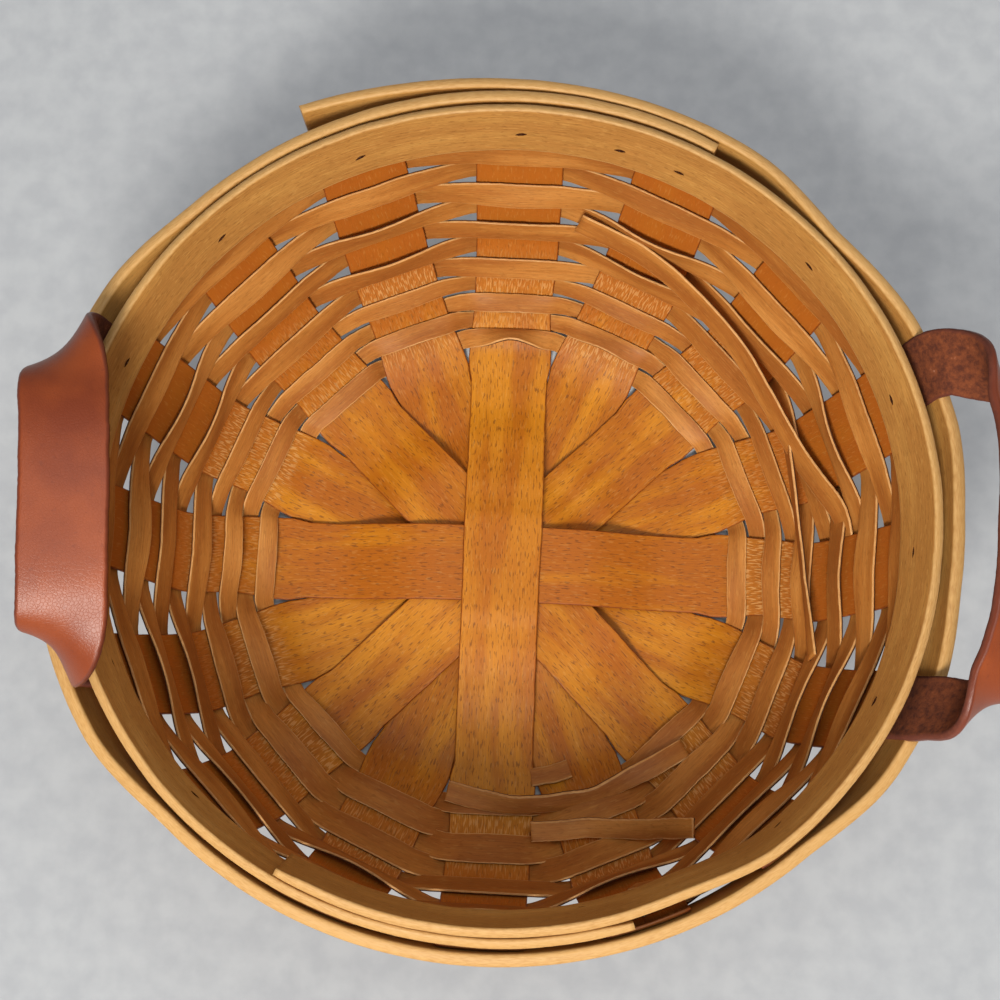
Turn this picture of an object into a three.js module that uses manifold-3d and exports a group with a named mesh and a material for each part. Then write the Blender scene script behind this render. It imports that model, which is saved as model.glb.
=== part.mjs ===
// A round splint basket with two leather ears, as an assembly of its separate strips.
// Eight base splints cross in the middle and turn up as sixteen stakes. Weaver rows ring
// the stakes, a band on each side clasps their tops, and tacks hold the bands and ears.
// Millimetres and degrees, +Z up, origin at the centre of the underside. The right ear
// is at +X. Angles round the basket run clockwise from +Y, seen from above.

import * as THREE from 'three';
import { mergeVertices } from 'three/addons/utils/BufferGeometryUtils.js';
import Module from 'manifold-3d';

const wasm = await Module();
wasm.setup();

// Splints
const splintCount = 8;
const splintWidth = 18;
const splintThickness = 0.8;
const laySlopeLimit = 0.3;

// Wall outline: how far past the touching stakes the base stays flat, and how fast and
// how far the wall turns up from there
const baseMargin = 0.35;
const kneeLength = 16.4;
const wallSlope = 71.1;
const rimOvalShare = 0.015;

// Weavers
const weaverThickness = 0.8;
const firstRowStart = 9.3;
const lowRowCount = 4;
const lowWeaverWidth = 4.4;
const highRowCount = 7;
const highWeaverWidth = 5.95;
const rowGap = 0.33;
const edgeClearance = 0.5;

// Rim bands
const bandHeight = 14.5;
const bandThickness = 2;
const bandOverRow = 0.8;
const stakeTopBelowRim = 0.6;
const bandLapAngle = 56;
const bandRampAngle = 16;
const bandEndGapAngle = 2;
const outerBandStartAngle = -26;
const innerBandStartAngle = 214;
const scarfAngle = 8;
const scarfTipShare = 0.45;

// Leather ears
const leatherThickness = 2.2;
const tabWidth = 14;
const earWidth = 18.5;
const earHeight = 21.5;
const earShapePower = 2.6;
const earTwistShare = 0.36;
const earInwardLean = -15;
const leftEarRestLean = 7;
const rightEarRestLean = 55;
const tabDepth = 12.5;
const tabStandOut = 0.5;
const earStakeOffset = 1;
const earSwellMargin = 6;
const earSwellRamp = 14;

// Tacks
const tackShankRadius = 0.6;
const tackHeadRadius = 2.1;
const tackHeadThickness = 0.6;
const tackPointLength = 2;
const tackPointOut = 0.6;
const lapTackAngles = [13.8, 166];

// Loose weaver ends. Each route is a list of angle, the row that the strip is level with
// there, and how many weaver thicknesses it stands off what lies under it.
const longEndRoute = [[10, 8, 0], [24, 7.5, 1.5], [42, 6.95, 3.75], [62, 6.85, 5.25], [76, 6.95, 3],
  [83, 7.5, 0]];
const thinEndRoute = [[66, 5.35, 0], [80, 4.95, 1], [92, 5.05, 1.25], [103, 5.6, 0]];
const nearEndRoute = [[172, 3.1, 0], [160, 4.15, 1.75], [151, 5.3, 2.75], [143.5, 6.85, 0]];
const baseTipRoute = [[166.3, 0.13, 0], [158.7, 0.15, 0]];

// Clearances between pieces that touch on the real basket
const layClearance = 0.2;
const tackClearance = 0.3;
const earClearance = 0.3;

// Steps of the surfaces
const baseSteps = 12;
const kneeStep = 3;
const kneeReach = 24;
const wallStep = 7;
const bandStepAngle = 4.5;
const earSections = 28;
const tableStep = 0.25;
const layReachPastFlat = 12;
const looseStepsPerPoint = 3;
const holeSides = 6;
const tackSides = 6;

// Colours from the wood and leather
const woodColours = { base: '#b5782f', wall: '#a8662c', band: '#bd8a45' };
const leatherColour = '#8f4a33';
const steelColour = '#4a3a2e';

// Worked out from the sizes above
const stakeCount = 2 * splintCount;
const stakeAngle = 360 / stakeCount;
const baseFlatRadius = splintWidth / 2 / Math.tan(radians(stakeAngle / 2)) + baseMargin;
const layPitch = splintThickness + layClearance;
const weaveOffset = splintThickness / 2 + layClearance + weaverThickness / 2;
const weaveFace = weaveOffset + weaverThickness / 2;
const rows = weaverRows();
const topRow = rows[rows.length - 2];
const bandLowArc = topRow.arc + topRow.width / 2 - bandOverRow;
const rimArc = bandLowArc + bandHeight;
const bandMidArc = bandLowArc + bandHeight / 2;
const stakeTopArc = rimArc - stakeTopBelowRim;
const wallTable = buildWallTable(rimArc + wallStep);
const rimHeight = splintThickness / 2 + wallAt(rimArc).height;
const layHeights = drapeSplints();

function radians(degrees) {
  return THREE.MathUtils.degToRad(degrees);
}

function radialAt(angle) {
  return new THREE.Vector3(Math.sin(radians(angle)), Math.cos(radians(angle)), 0);
}

function tangentAt(angle) {
  return new THREE.Vector3(Math.cos(radians(angle)), -Math.sin(radians(angle)), 0);
}

// Rows from the base up. The last one is the filler row that the rim bands hide.
function weaverRows() {
  const list = [];
  let lowEdge = firstRowStart;
  for (let row = 1; row <= lowRowCount + highRowCount + 1; row += 1) {
    const width = row <= lowRowCount ? lowWeaverWidth : highWeaverWidth;
    list.push({ row, width, arc: lowEdge + width / 2 });
    lowEdge += width + rowGap;
  }
  return list;
}

// The wall's outline by its length along the wall from the edge of the flat base.
function slopeAt(arc) {
  return radians(wallSlope) * (1 - Math.exp(-Math.max(arc, 0) / kneeLength));
}

function buildWallTable(reach) {
  const table = [{ radius: baseFlatRadius, height: 0 }];
  for (let arc = 0; arc < reach; arc += tableStep) {
    const last = table[table.length - 1];
    const slope = slopeAt(arc + tableStep / 2);
    table.push({
      radius: last.radius + tableStep * Math.cos(slope),
      height: last.height + tableStep * Math.sin(slope),
    });
  }
  return table;
}

function wallAt(arc) {
  if (arc <= 0) {
    return { radius: baseFlatRadius + arc, height: 0, slope: 0 };
  }
  const place = arc / tableStep;
  const before = wallTable[Math.floor(place)];
  const after = wallTable[Math.floor(place) + 1];
  const share = place - Math.floor(place);
  return {
    radius: THREE.MathUtils.lerp(before.radius, after.radius, share),
    height: THREE.MathUtils.lerp(before.height, after.height, share),
    slope: slopeAt(arc),
  };
}

// A frame on the splints' middle surface: lift moves a point into the basket.
function wallFrame(angle, arc, lift) {
  const wall = wallAt(arc);
  const radial = radialAt(angle);
  const up = radial.clone().multiplyScalar(Math.cos(wall.slope));
  up.z = Math.sin(wall.slope);
  const inward = radial.clone().multiplyScalar(-Math.sin(wall.slope));
  inward.z = Math.cos(wall.slope);
  const point = radial.clone().multiplyScalar(wall.radius);
  point.z = splintThickness / 2 + wall.height;
  point.addScaledVector(inward, lift);
  return { point, up, inward, tangent: tangentAt(angle) };
}

// The basket grows slightly oval towards the rim, wider from ear to ear.
function makeOval(point) {
  const share = (rimOvalShare * point.z) / rimHeight;
  point.x *= 1 + share;
  point.y *= 1 - share;
  return point;
}

// Splints are laid one on another, the odd ones first and the far-to-near one last.
function layRank(splint) {
  let rank = 0;
  let rest = splint === 0 ? splintCount : splint;
  while (rest % 2 === 0) {
    rest /= 2;
    rank += 1;
  }
  return rank;
}

function layOrder() {
  const order = [...Array(splintCount).keys()];
  return order.sort((first, second) => layRank(first) - layRank(second) || first - second);
}

// How high each splint rides over the table, at even steps out from the centre.
function drapeSplints() {
  const step = baseFlatRadius / baseSteps;
  const stepCount = Math.ceil((baseFlatRadius + layReachPastFlat) / step);
  const halfWidth = splintWidth / 2 + layClearance;
  const heights = {};
  const laid = [];
  const heightOf = (splint, along) => {
    const place = Math.abs(along) / step;
    const low = Math.min(Math.floor(place), stepCount);
    const high = Math.min(low + 1, stepCount);
    return THREE.MathUtils.lerp(heights[splint][low], heights[splint][high], place - low);
  };
  for (const splint of layOrder()) {
    const needed = new Array(stepCount + 2).fill(0);
    for (let index = 0; index <= stepCount + 1; index += 1) {
      for (let across = -halfWidth; across <= halfWidth; across += halfWidth / 8) {
        for (const other of laid) {
          const turn = radians((other - splint) * stakeAngle);
          const along = index * step * Math.cos(turn) + across * Math.sin(turn);
          const aside = across * Math.cos(turn) - index * step * Math.sin(turn);
          if (Math.abs(aside) <= halfWidth) {
            needed[index] = Math.max(needed[index], heightOf(other, along) + layPitch);
          }
        }
      }
    }
    const padded = needed.map((value, index) => Math.max(
      value, needed[Math.abs(index - 1)], needed[Math.min(index + 1, stepCount + 1)]));
    heights[splint] = padded.map((value, index) => Math.max(...padded.map(
      (other, place) => other - laySlopeLimit * step * Math.abs(place - index)), value, 0));
    laid.push(splint);
  }
  return { step, stepCount, heightOf };
}

// Bodies are swept from four-cornered sections, with flat ends where they are open.
function stripSection(centre, width, thickness, widthAxis, thicknessAxis) {
  const across = widthAxis.clone().multiplyScalar(width / 2);
  const through = thicknessAxis.clone().multiplyScalar(thickness / 2);
  return [
    centre.clone().sub(across).sub(through),
    centre.clone().add(across).sub(through),
    centre.clone().add(across).add(through),
    centre.clone().sub(across).add(through),
  ];
}

function sweep(sections, closed) {
  const corners = sections[0].length;
  const positions = sections.flat().flatMap((point) => point.toArray());
  const faces = [];
  const ringCount = closed ? sections.length : sections.length - 1;
  for (let ring = 0; ring < ringCount; ring += 1) {
    const here = ring * corners;
    const there = ((ring + 1) % sections.length) * corners;
    for (let corner = 0; corner < corners; corner += 1) {
      const next = (corner + 1) % corners;
      faces.push(here + corner, here + next, there + next);
      faces.push(here + corner, there + next, there + corner);
    }
  }
  if (!closed) {
    const last = (sections.length - 1) * corners;
    faces.push(0, 2, 1, 0, 3, 2);
    faces.push(last, last + 1, last + 2, last, last + 2, last + 3);
  }
  const geometry = new THREE.BufferGeometry();
  geometry.setAttribute('position', new THREE.Float32BufferAttribute(positions, 3));
  geometry.setIndex(signedVolume(positions, faces) < 0 ? faces.reverse() : faces);
  return geometry;
}

function signedVolume(positions, faces) {
  let volume = 0;
  const corner = (index) => new THREE.Vector3().fromArray(positions, 3 * faces[index]);
  for (let face = 0; face < faces.length; face += 3) {
    volume += corner(face).dot(corner(face + 1).cross(corner(face + 2))) / 6;
  }
  return volume;
}

// Solids for cutting holes
function toSolid(geometry) {
  const bare = geometry.clone();
  bare.deleteAttribute('normal');
  bare.deleteAttribute('uv');
  const merged = mergeVertices(bare);
  return new wasm.Manifold(new wasm.Mesh({
    numProp: 3,
    vertProperties: Float32Array.from(merged.attributes.position.array),
    triVerts: Uint32Array.from(merged.index.array),
  }));
}

function toGeometry(solid) {
  const mesh = solid.getMesh();
  const geometry = new THREE.BufferGeometry();
  geometry.setAttribute('position', new THREE.BufferAttribute(mesh.vertProperties, 3));
  geometry.setIndex(new THREE.BufferAttribute(mesh.triVerts, 1));
  return geometry;
}

function drill(geometry, tacks) {
  let solid = toSolid(geometry);
  for (const tack of tacks) {
    const radius = tackShankRadius + tackClearance;
    const cutter = new THREE.CylinderGeometry(radius, radius, tack.reach, holeSides);
    cutter.applyQuaternion(tack.turn);
    cutter.translate(...tack.centre.toArray());
    solid = solid.subtract(toSolid(cutter));
  }
  return toGeometry(solid);
}

function material(colour, roughness, metalness = 0) {
  return new THREE.MeshStandardMaterial({ color: colour, roughness, metalness, flatShading: true });
}

function namedMesh(name, geometry, meshMaterial) {
  geometry.computeVertexNormals();
  const mesh = new THREE.Mesh(geometry, meshMaterial);
  mesh.name = name;
  return mesh;
}

// Splints
function stakeArcs() {
  const arcs = [];
  for (let arc = 0; arc < kneeReach; arc += kneeStep) {
    arcs.push(arc);
  }
  const wallSteps = Math.ceil((stakeTopArc - kneeReach) / wallStep);
  for (let step = 0; step <= wallSteps; step += 1) {
    arcs.push(THREE.MathUtils.lerp(kneeReach, stakeTopArc, step / wallSteps));
  }
  return arcs;
}

function splintSection(splint, along) {
  const forward = along >= 0;
  const distance = Math.abs(along);
  const lift = layHeights.heightOf(splint, Math.min(distance, layReach()));
  const frame = wallFrame(splint * stakeAngle + (forward ? 0 : 180), distance - baseFlatRadius, lift);
  const widthAxis = tangentAt(splint * stakeAngle);
  const corners = stripSection(frame.point, splintWidth, splintThickness, widthAxis, frame.inward);
  return corners.map(makeOval);
}

function layReach() {
  return layHeights.step * layHeights.stepCount;
}

function splintGeometry(splint) {
  const half = [];
  for (let step = 1; step < baseSteps; step += 1) {
    half.push(step * layHeights.step);
  }
  half.push(...stakeArcs().map((arc) => baseFlatRadius + arc));
  const path = [...half.map((along) => -along).reverse(), 0, ...half];
  return sweep(path.map((along) => splintSection(splint, along)), false);
}

// A row passes inside one stake and outside the next, all the way round.
function rowGeometry({ row, width, arc }) {
  const sections = [];
  for (let stake = 0; stake < stakeCount; stake += 1) {
    const side = (stake + row) % 2 === 1 ? 1 : -1;
    const frame = wallFrame(stake * stakeAngle, arc, side * weaveOffset);
    for (const end of [-1, 1]) {
      const reach = end * (splintWidth / 2 + edgeClearance);
      const centre = frame.point.clone().addScaledVector(frame.tangent, reach);
      sections.push(stripSection(centre, width, weaverThickness, frame.up, frame.inward));
    }
  }
  return sweep(sections.map((corners) => corners.map(makeOval)), true);
}

// A loose weaver end follows its route over the surface that it rests on.
function arcLevelWith(place) {
  const arcs = [0, ...rows.map((entry) => entry.arc)];
  const below = Math.floor(place);
  return THREE.MathUtils.lerp(arcs[below], arcs[below + 1], place - below);
}

function looseStrip(route, width, restLift) {
  const stops = route.map(([angle, place, standOff]) => (
    { angle, arc: arcLevelWith(place), lift: restLift + standOff * weaverThickness }));
  const places = stops.map(({ angle, arc, lift }) => wallFrame(angle, arc, lift).point);
  const curve = new THREE.CatmullRomCurve3(places);
  const sections = [];
  const stepCount = looseStepsPerPoint * (stops.length - 1);
  for (let step = 0; step <= stepCount; step += 1) {
    const share = step / stepCount;
    const place = share * (stops.length - 1);
    const index = Math.min(Math.floor(place), stops.length - 2);
    const angle = THREE.MathUtils.lerp(stops[index].angle, stops[index + 1].angle, place - index);
    const arc = THREE.MathUtils.lerp(stops[index].arc, stops[index + 1].arc, place - index);
    const along = curve.getTangent(share);
    const { inward } = wallFrame(angle, arc, 0);
    const widthAxis = new THREE.Vector3().crossVectors(inward, along).normalize();
    const thicknessAxis = new THREE.Vector3().crossVectors(along, widthAxis).normalize();
    sections.push(stripSection(curve.getPoint(share), width, weaverThickness, widthAxis, thicknessAxis));
  }
  return sweep(sections.map((corners) => corners.map(makeOval)), false);
}

// Rim bands. Each laps over its own start, so its first stretch is a layer further out.
function smooth(share) {
  const clamped = THREE.MathUtils.clamp(share, 0, 1);
  return clamped * clamped * (3 - 2 * clamped);
}

function angleFrom(angle, start) {
  return THREE.MathUtils.euclideanModulo(angle - start, 360);
}

function lapLayer(travel) {
  return 1 - smooth((travel - bandLapAngle) / bandRampAngle);
}

function bulge(radius, halfWidth) {
  return Math.hypot(radius, halfWidth) - radius;
}

function earSwell(angle) {
  const fromEar = Math.abs(angleFrom(angle, 0) % 180 - 90);
  const span = earStakeOffset * stakeAngle + earSwellMargin;
  return 1 - smooth((fromEar - span) / earSwellRamp);
}

function outerBandLift(angle, layer) {
  const radius = wallAt(bandMidArc).radius;
  const plainFace = weaveFace + layClearance + bulge(radius, splintWidth / 2 + edgeClearance);
  const tabFace = splintThickness / 2 + 2 * layClearance + leatherThickness + bulge(radius, tabWidth / 2);
  const face = THREE.MathUtils.lerp(plainFace, Math.max(plainFace, tabFace), earSwell(angle));
  return -(face + bandThickness / 2 + layer * (bandThickness + layClearance));
}

function innerBandLift(layer) {
  const face = weaveFace + layClearance;
  return face + bandThickness / 2 + layer * (bandThickness + layClearance);
}

function bandGeometry(startAngle, direction, liftAt) {
  const travelEnd = 360 + bandLapAngle - bandEndGapAngle;
  const steps = Math.round(travelEnd / bandStepAngle);
  const sections = [];
  for (let step = 0; step <= steps; step += 1) {
    const travel = (travelEnd * step) / steps;
    const angle = startAngle + direction * travel;
    const fromEnd = Math.min(travel, travelEnd - travel);
    const thickness = bandThickness * THREE.MathUtils.lerp(scarfTipShare, 1, smooth(fromEnd / scarfAngle));
    const frame = wallFrame(angle, bandMidArc, liftAt(angle, lapLayer(travel)));
    sections.push(stripSection(frame.point, bandHeight, thickness, frame.up, frame.inward));
  }
  return sweep(sections.map((corners) => corners.map(makeOval)), false);
}

// Tacks go in from the outer band, through a stake, to a point inside the inner band.
function rimTack(angle) {
  const outerLayer = lapLayer(angleFrom(angle, outerBandStartAngle));
  const innerLayer = lapLayer(angleFrom(innerBandStartAngle, angle));
  const outside = outerBandLift(angle, outerLayer) - bandThickness / 2 - layClearance;
  const inside = innerBandLift(innerLayer) + bandThickness / 2 + tackPointOut;
  const frame = wallFrame(angle, bandMidArc, 0);
  const head = makeOval(wallFrame(angle, bandMidArc, outside).point);
  const tip = makeOval(wallFrame(angle, bandMidArc, inside).point);
  const outward = frame.inward.clone().negate();
  return {
    angle,
    head,
    length: head.distanceTo(tip),
    turn: new THREE.Quaternion().setFromUnitVectors(new THREE.Vector3(0, 1, 0), outward),
    centre: head.clone().lerp(tip, 0.5),
    reach: 2 * head.distanceTo(tip),
  };
}

function tackMesh(name, tack) {
  const profile = [
    new THREE.Vector2(0, -tack.length),
    new THREE.Vector2(tackShankRadius, tackPointLength - tack.length),
    new THREE.Vector2(tackShankRadius, 0),
    new THREE.Vector2(tackHeadRadius, 0),
    new THREE.Vector2(tackHeadRadius, tackHeadThickness / 2),
    new THREE.Vector2(tackHeadRadius / 2, tackHeadThickness),
    new THREE.Vector2(0, tackHeadThickness),
  ];
  const mesh = namedMesh(name, new THREE.LatheGeometry(profile, tackSides), material(steelColour, 0.5, 0.8));
  mesh.position.copy(tack.head);
  mesh.quaternion.copy(tack.turn);
  return mesh;
}

// A tab is the end of an ear strap, tucked between a stake and the outer band.
const tabLift = -(splintThickness / 2 + layClearance + leatherThickness / 2);
const tabTopArc = rimArc + tabStandOut;

function tabGeometry(angle) {
  const frames = [tabTopArc - tabDepth, tabTopArc].map((arc) => {
    const frame = wallFrame(angle, bandMidArc, tabLift);
    frame.point.addScaledVector(frame.up, arc - bandMidArc);
    return frame;
  });
  const sections = frames.map(({ point, tangent, inward }) => (
    stripSection(point, tabWidth, leatherThickness, tangent, inward).map(makeOval)));
  return sweep(sections, false);
}

// Where the tabs of an ear end, and the line that the ear flexes on: level, along Y,
// through the outermost corners of the tabs' ends, so the strap rises off them going out.
function earHinge() {
  const turn = radians(earStakeOffset * stakeAngle);
  const frame = wallFrame(90 - earStakeOffset * stakeAngle, bandMidArc, tabLift);
  frame.point.addScaledVector(frame.up, tabTopArc - bandMidArc);
  const mouth = makeOval(frame.point);
  const outward = (tabWidth / 2) * Math.sin(turn) - (leatherThickness / 2) * frame.inward.x;
  const downward = (leatherThickness / 2) * frame.inward.z;
  const position = new THREE.Vector3(mouth.x + outward, 0, mouth.z - downward);
  return { position, start: mouth.sub(position), tabUp: frame.up };
}

// The strap of an ear in its own frame, with the flex line along Y through the origin. It
// arches from tab to tab and twists, so that it lies flat over the top of the arch. It is
// made leaning in as far as it goes, with its ends cut to rest on the tabs in that pose.
function earGeometry(hinge) {
  const lean = radians(earInwardLean);
  const archUp = new THREE.Vector3(Math.sin(lean), 0, Math.cos(lean));
  const archOut = new THREE.Vector3(Math.cos(lean), 0, -Math.sin(lean));
  const archPoint = (share) => {
    const turn = Math.PI * share;
    const aside = Math.sign(Math.cos(turn)) * Math.abs(Math.cos(turn)) ** (2 / earShapePower);
    const rise = Math.abs(Math.sin(turn)) ** (2 / earShapePower);
    const point = hinge.start.clone().addScaledVector(archUp, earHeight * rise);
    point.y = hinge.start.y * aside;
    return point;
  };
  const endTwist = radians(90 - earStakeOffset * stakeAngle);
  const lookAhead = 1 / (4 * earSections);
  const sections = [];
  for (let step = 0; step <= earSections; step += 1) {
    const share = step / earSections;
    const atEnd = step === 0 || step === earSections;
    const firstHalf = share < 0.5;
    const fromEnd = Math.min(share, 1 - share);
    const before = archPoint(Math.max(share - lookAhead, 0));
    const after = archPoint(Math.min(share + lookAhead, 1));
    const along = atEnd ? archUp.clone().multiplyScalar(firstHalf ? 1 : -1) : after.sub(before).normalize();
    const intoArch = new THREE.Vector3().crossVectors(archOut, along);
    const twist = endTwist * (1 - smooth(fromEnd / earTwistShare));
    const widthAxis = archOut.clone().multiplyScalar(Math.cos(twist));
    widthAxis.addScaledVector(intoArch, Math.sin(twist)).normalize();
    const thicknessAxis = new THREE.Vector3().crossVectors(along, widthAxis).normalize();
    const width = THREE.MathUtils.lerp(tabWidth, earWidth, smooth(fromEnd / earTwistShare));
    const corners = stripSection(archPoint(share), width, leatherThickness, widthAxis, thicknessAxis);
    if (atEnd) {
      const side = new THREE.Vector3(1, firstHalf ? 1 : -1, 1);
      const tabUp = hinge.tabUp.clone().multiply(side);
      const seat = hinge.start.clone().multiply(side).addScaledVector(tabUp, earClearance);
      corners.forEach((corner) => corner.addScaledVector(
        along, seat.clone().sub(corner).dot(tabUp) / along.dot(tabUp)));
    }
    sections.push(corners);
  }
  return sweep(sections, false);
}

// An ear turns about its flex line, from the pose that it was made in to its rest pose.
function earGroup(name, facing, restLean, hinge) {
  const strap = namedMesh(`${name}_ear_strap`, earGeometry(hinge), material(leatherColour, 0.55));
  strap.rotation.y = radians(restLean - earInwardLean);
  const group = new THREE.Group();
  group.add(strap);
  group.position.copy(hinge.position).multiply(new THREE.Vector3(facing, 1, 1));
  group.rotation.z = facing > 0 ? 0 : Math.PI;
  return group;
}

// Assembly
const basket = new THREE.Group();
const stakeTacks = [...Array(stakeCount).keys()].map((stake) => rimTack(stake * stakeAngle));
const lapTacks = lapTackAngles.map(rimTack);
const allTacks = [...stakeTacks, ...lapTacks];

for (let splint = 0; splint < splintCount; splint += 1) {
  const ends = [stakeTacks[splint], stakeTacks[splint + splintCount]];
  const geometry = drill(splintGeometry(splint), ends);
  basket.add(namedMesh(`base_splint_${splint + 1}`, geometry, material(woodColours.base, 0.6)));
}

for (const entry of rows.slice(0, -1)) {
  const name = `weaver_row_${String(entry.row).padStart(2, '0')}`;
  basket.add(namedMesh(name, rowGeometry(entry), material(woodColours.wall, 0.65)));
}
const fillerRow = drill(rowGeometry(rows[rows.length - 1]), allTacks);
basket.add(namedMesh('rim_filler_row', fillerRow, material(woodColours.wall, 0.65)));

const innerBand = bandGeometry(innerBandStartAngle, -1, (angle, layer) => innerBandLift(layer));
const outerBand = bandGeometry(outerBandStartAngle, 1, outerBandLift);
const bandMaterial = material(woodColours.band, 0.55);
basket.add(namedMesh('inner_rim_band', drill(innerBand, allTacks), bandMaterial));
basket.add(namedMesh('outer_rim_band', drill(outerBand, allTacks), bandMaterial));

// Three ends stand off the wall inside, and a short tip lies on a splint of the base.
const wallRestLift = weaveFace + layClearance + weaverThickness / 2;
const baseRestLift = splintThickness / 2 + layClearance + weaverThickness / 2;
const looseEnds = {
  loose_weaver_long: looseStrip(longEndRoute, highWeaverWidth, wallRestLift),
  loose_weaver_thin: looseStrip(thinEndRoute, lowWeaverWidth, wallRestLift),
  loose_weaver_near: looseStrip(nearEndRoute, lowWeaverWidth, wallRestLift),
  weaver_tip_base: looseStrip(baseTipRoute, lowWeaverWidth, baseRestLift),
};
for (const [name, geometry] of Object.entries(looseEnds)) {
  basket.add(namedMesh(name, geometry, material(woodColours.wall, 0.65)));
}

const hinge = earHinge();
for (const [name, facing, restLean] of [['left', -1, leftEarRestLean], ['right', 1, rightEarRestLean]]) {
  basket.add(earGroup(name, facing, restLean, hinge));
  for (const [place, offset] of [['far', -facing], ['near', facing]]) {
    const angle = facing * 90 + offset * earStakeOffset * stakeAngle;
    const tacks = stakeTacks.filter((tack) => angleFrom(tack.angle, angle) < 1);
    const tab = drill(tabGeometry(angle), tacks);
    basket.add(namedMesh(`${name}_ear_${place}_tab`, tab, material(leatherColour, 0.55)));
  }
}

allTacks.forEach((tack, index) => {
  basket.add(tackMesh(`rim_tack_${String(index + 1).padStart(2, '0')}`, tack));
});

export default basket;
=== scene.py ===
# %% [markdown]
# # A small round splint basket with leather ears
#
# The real basket is woven from thin strips of maple, stained honey brown. Eight wide splints
# cross at the base and turn up as sixteen stakes. Narrow weavers ring them, two bent bands
# clasp the stake tops, small tacks hold the bands, and a leather ear is tucked in at each
# side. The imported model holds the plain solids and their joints. This lesson dresses each
# piece as a fine surface in the same place, because what the eye reads in a basket is how
# every strip bends over and under its neighbours, and how its cut edges catch the light.

# %% Frame
from functools import partial

import bpy
import numpy as np
from mathutils import Matrix, Vector


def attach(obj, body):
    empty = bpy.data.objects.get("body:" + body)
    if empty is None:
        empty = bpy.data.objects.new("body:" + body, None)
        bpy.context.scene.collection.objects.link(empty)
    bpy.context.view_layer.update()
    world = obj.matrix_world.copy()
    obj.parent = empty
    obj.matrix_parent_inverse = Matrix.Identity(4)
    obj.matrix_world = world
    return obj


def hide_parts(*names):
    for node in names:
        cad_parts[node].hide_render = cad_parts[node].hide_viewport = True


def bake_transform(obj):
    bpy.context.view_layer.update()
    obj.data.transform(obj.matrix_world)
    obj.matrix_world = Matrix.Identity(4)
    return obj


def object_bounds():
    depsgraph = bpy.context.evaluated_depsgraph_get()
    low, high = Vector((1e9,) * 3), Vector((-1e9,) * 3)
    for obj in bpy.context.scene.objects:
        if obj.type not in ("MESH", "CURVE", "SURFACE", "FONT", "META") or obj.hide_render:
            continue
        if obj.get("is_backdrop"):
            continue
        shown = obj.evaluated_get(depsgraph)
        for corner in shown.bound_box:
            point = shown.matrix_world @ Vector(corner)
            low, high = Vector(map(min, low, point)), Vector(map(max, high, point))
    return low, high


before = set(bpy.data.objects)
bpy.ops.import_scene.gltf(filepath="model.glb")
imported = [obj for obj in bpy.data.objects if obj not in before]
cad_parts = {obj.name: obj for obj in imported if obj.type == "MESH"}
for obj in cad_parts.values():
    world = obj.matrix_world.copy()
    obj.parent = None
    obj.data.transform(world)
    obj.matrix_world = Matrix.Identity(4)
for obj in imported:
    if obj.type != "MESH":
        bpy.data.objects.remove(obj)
cad_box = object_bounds()
mm = 0.001
print("solids:", len(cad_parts), "highest point in mm:", round(cad_box[1][2] / mm, 1))

# %% [markdown]
# ## Camera
#
# The photograph looks down into the basket from just in front of it, tipped a little, and
# the basket is turned slightly clockwise in the picture. A long lens keeps the rim's ellipse
# nearly round. The place of the lens follows from its height over the base, how far in front
# of the centre it hangs, and its tilt from straight down.

# %% Camera
camera_height = 490 * mm
camera_forward = 93.3 * mm
camera_aside = 0.35 * mm
camera_tilt = np.radians(12.63)
camera_turn = np.radians(2.3)
camera_lens = 76.43


def place_camera():
    """The camera's axes are the picture's right, its up, and the reverse of the view."""
    far = Vector((-np.sin(camera_turn), np.cos(camera_turn), 0))
    right = Vector((np.cos(camera_turn), np.sin(camera_turn), 0))
    ahead = np.sin(camera_tilt) * far - Vector((0, 0, np.cos(camera_tilt)))
    above = right.cross(ahead)
    data = bpy.data.cameras.new("camera")
    data.lens = camera_lens
    camera = bpy.data.objects.new("camera", data)
    place = -camera_forward * far - camera_aside * right + Vector((0, 0, camera_height))
    axes = Matrix((right, above, -ahead)).transposed().to_4x4()
    camera.matrix_world = Matrix.Translation(place) @ axes
    bpy.context.scene.collection.objects.link(camera)
    bpy.context.scene.camera = camera
    return camera


camera = place_camera()
print("camera at", [round(v / mm) for v in camera.matrix_world.translation])

# %% [markdown]
# ## Waves for hand-made unevenness
#
# No strip in a handmade basket is quite straight or even. A few sines of random length,
# always drawn from the same seed, give soft waves that repeat in every run. A smooth step
# serves wherever one state passes into another. Every use has a seed of its own, a plain
# number, so that no two strips are alike. A few short sums on rows of points follow, which
# nearly every piece below needs.

# %% Smooth steps, waves and sums on rows
def smooth(share):
    """Cubic step from 0 to 1 that is level at both ends."""
    share = np.clip(share, 0, 1)
    return share * share * (3 - 2 * share)


def waves(length, period, seed, closed_length=None):
    """Sum of five sines near the period, with random lengths and starts. On a closed strip
    each length goes a whole number of times round."""
    source = np.random.default_rng(seed)
    total = np.zeros_like(length)
    for _ in range(5):
        stretch = period * source.uniform(0.6, 2.2)
        if closed_length:
            stretch = closed_length / max(round(closed_length / stretch), 1)
        total = total + np.sin(2 * np.pi * (length / stretch + source.uniform(0, 1)))
    return total / np.sqrt(10)


def column(values):
    """One value, or one for each step of a path, upright beside its rows of points."""
    return np.asarray(values, float).reshape(-1, 1)


def unit(vectors):
    """Each vector at length one."""
    return vectors / np.linalg.norm(vectors, axis=-1, keepdims=True)


def dot(first, second):
    """Sum of the products of two vectors' parts, row by row."""
    return (first * second).sum(axis=-1, keepdims=True)


def square_to(along, vectors):
    """The vectors less their part along the path, at length one."""
    return unit(vectors - dot(vectors, along) * along)


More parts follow.
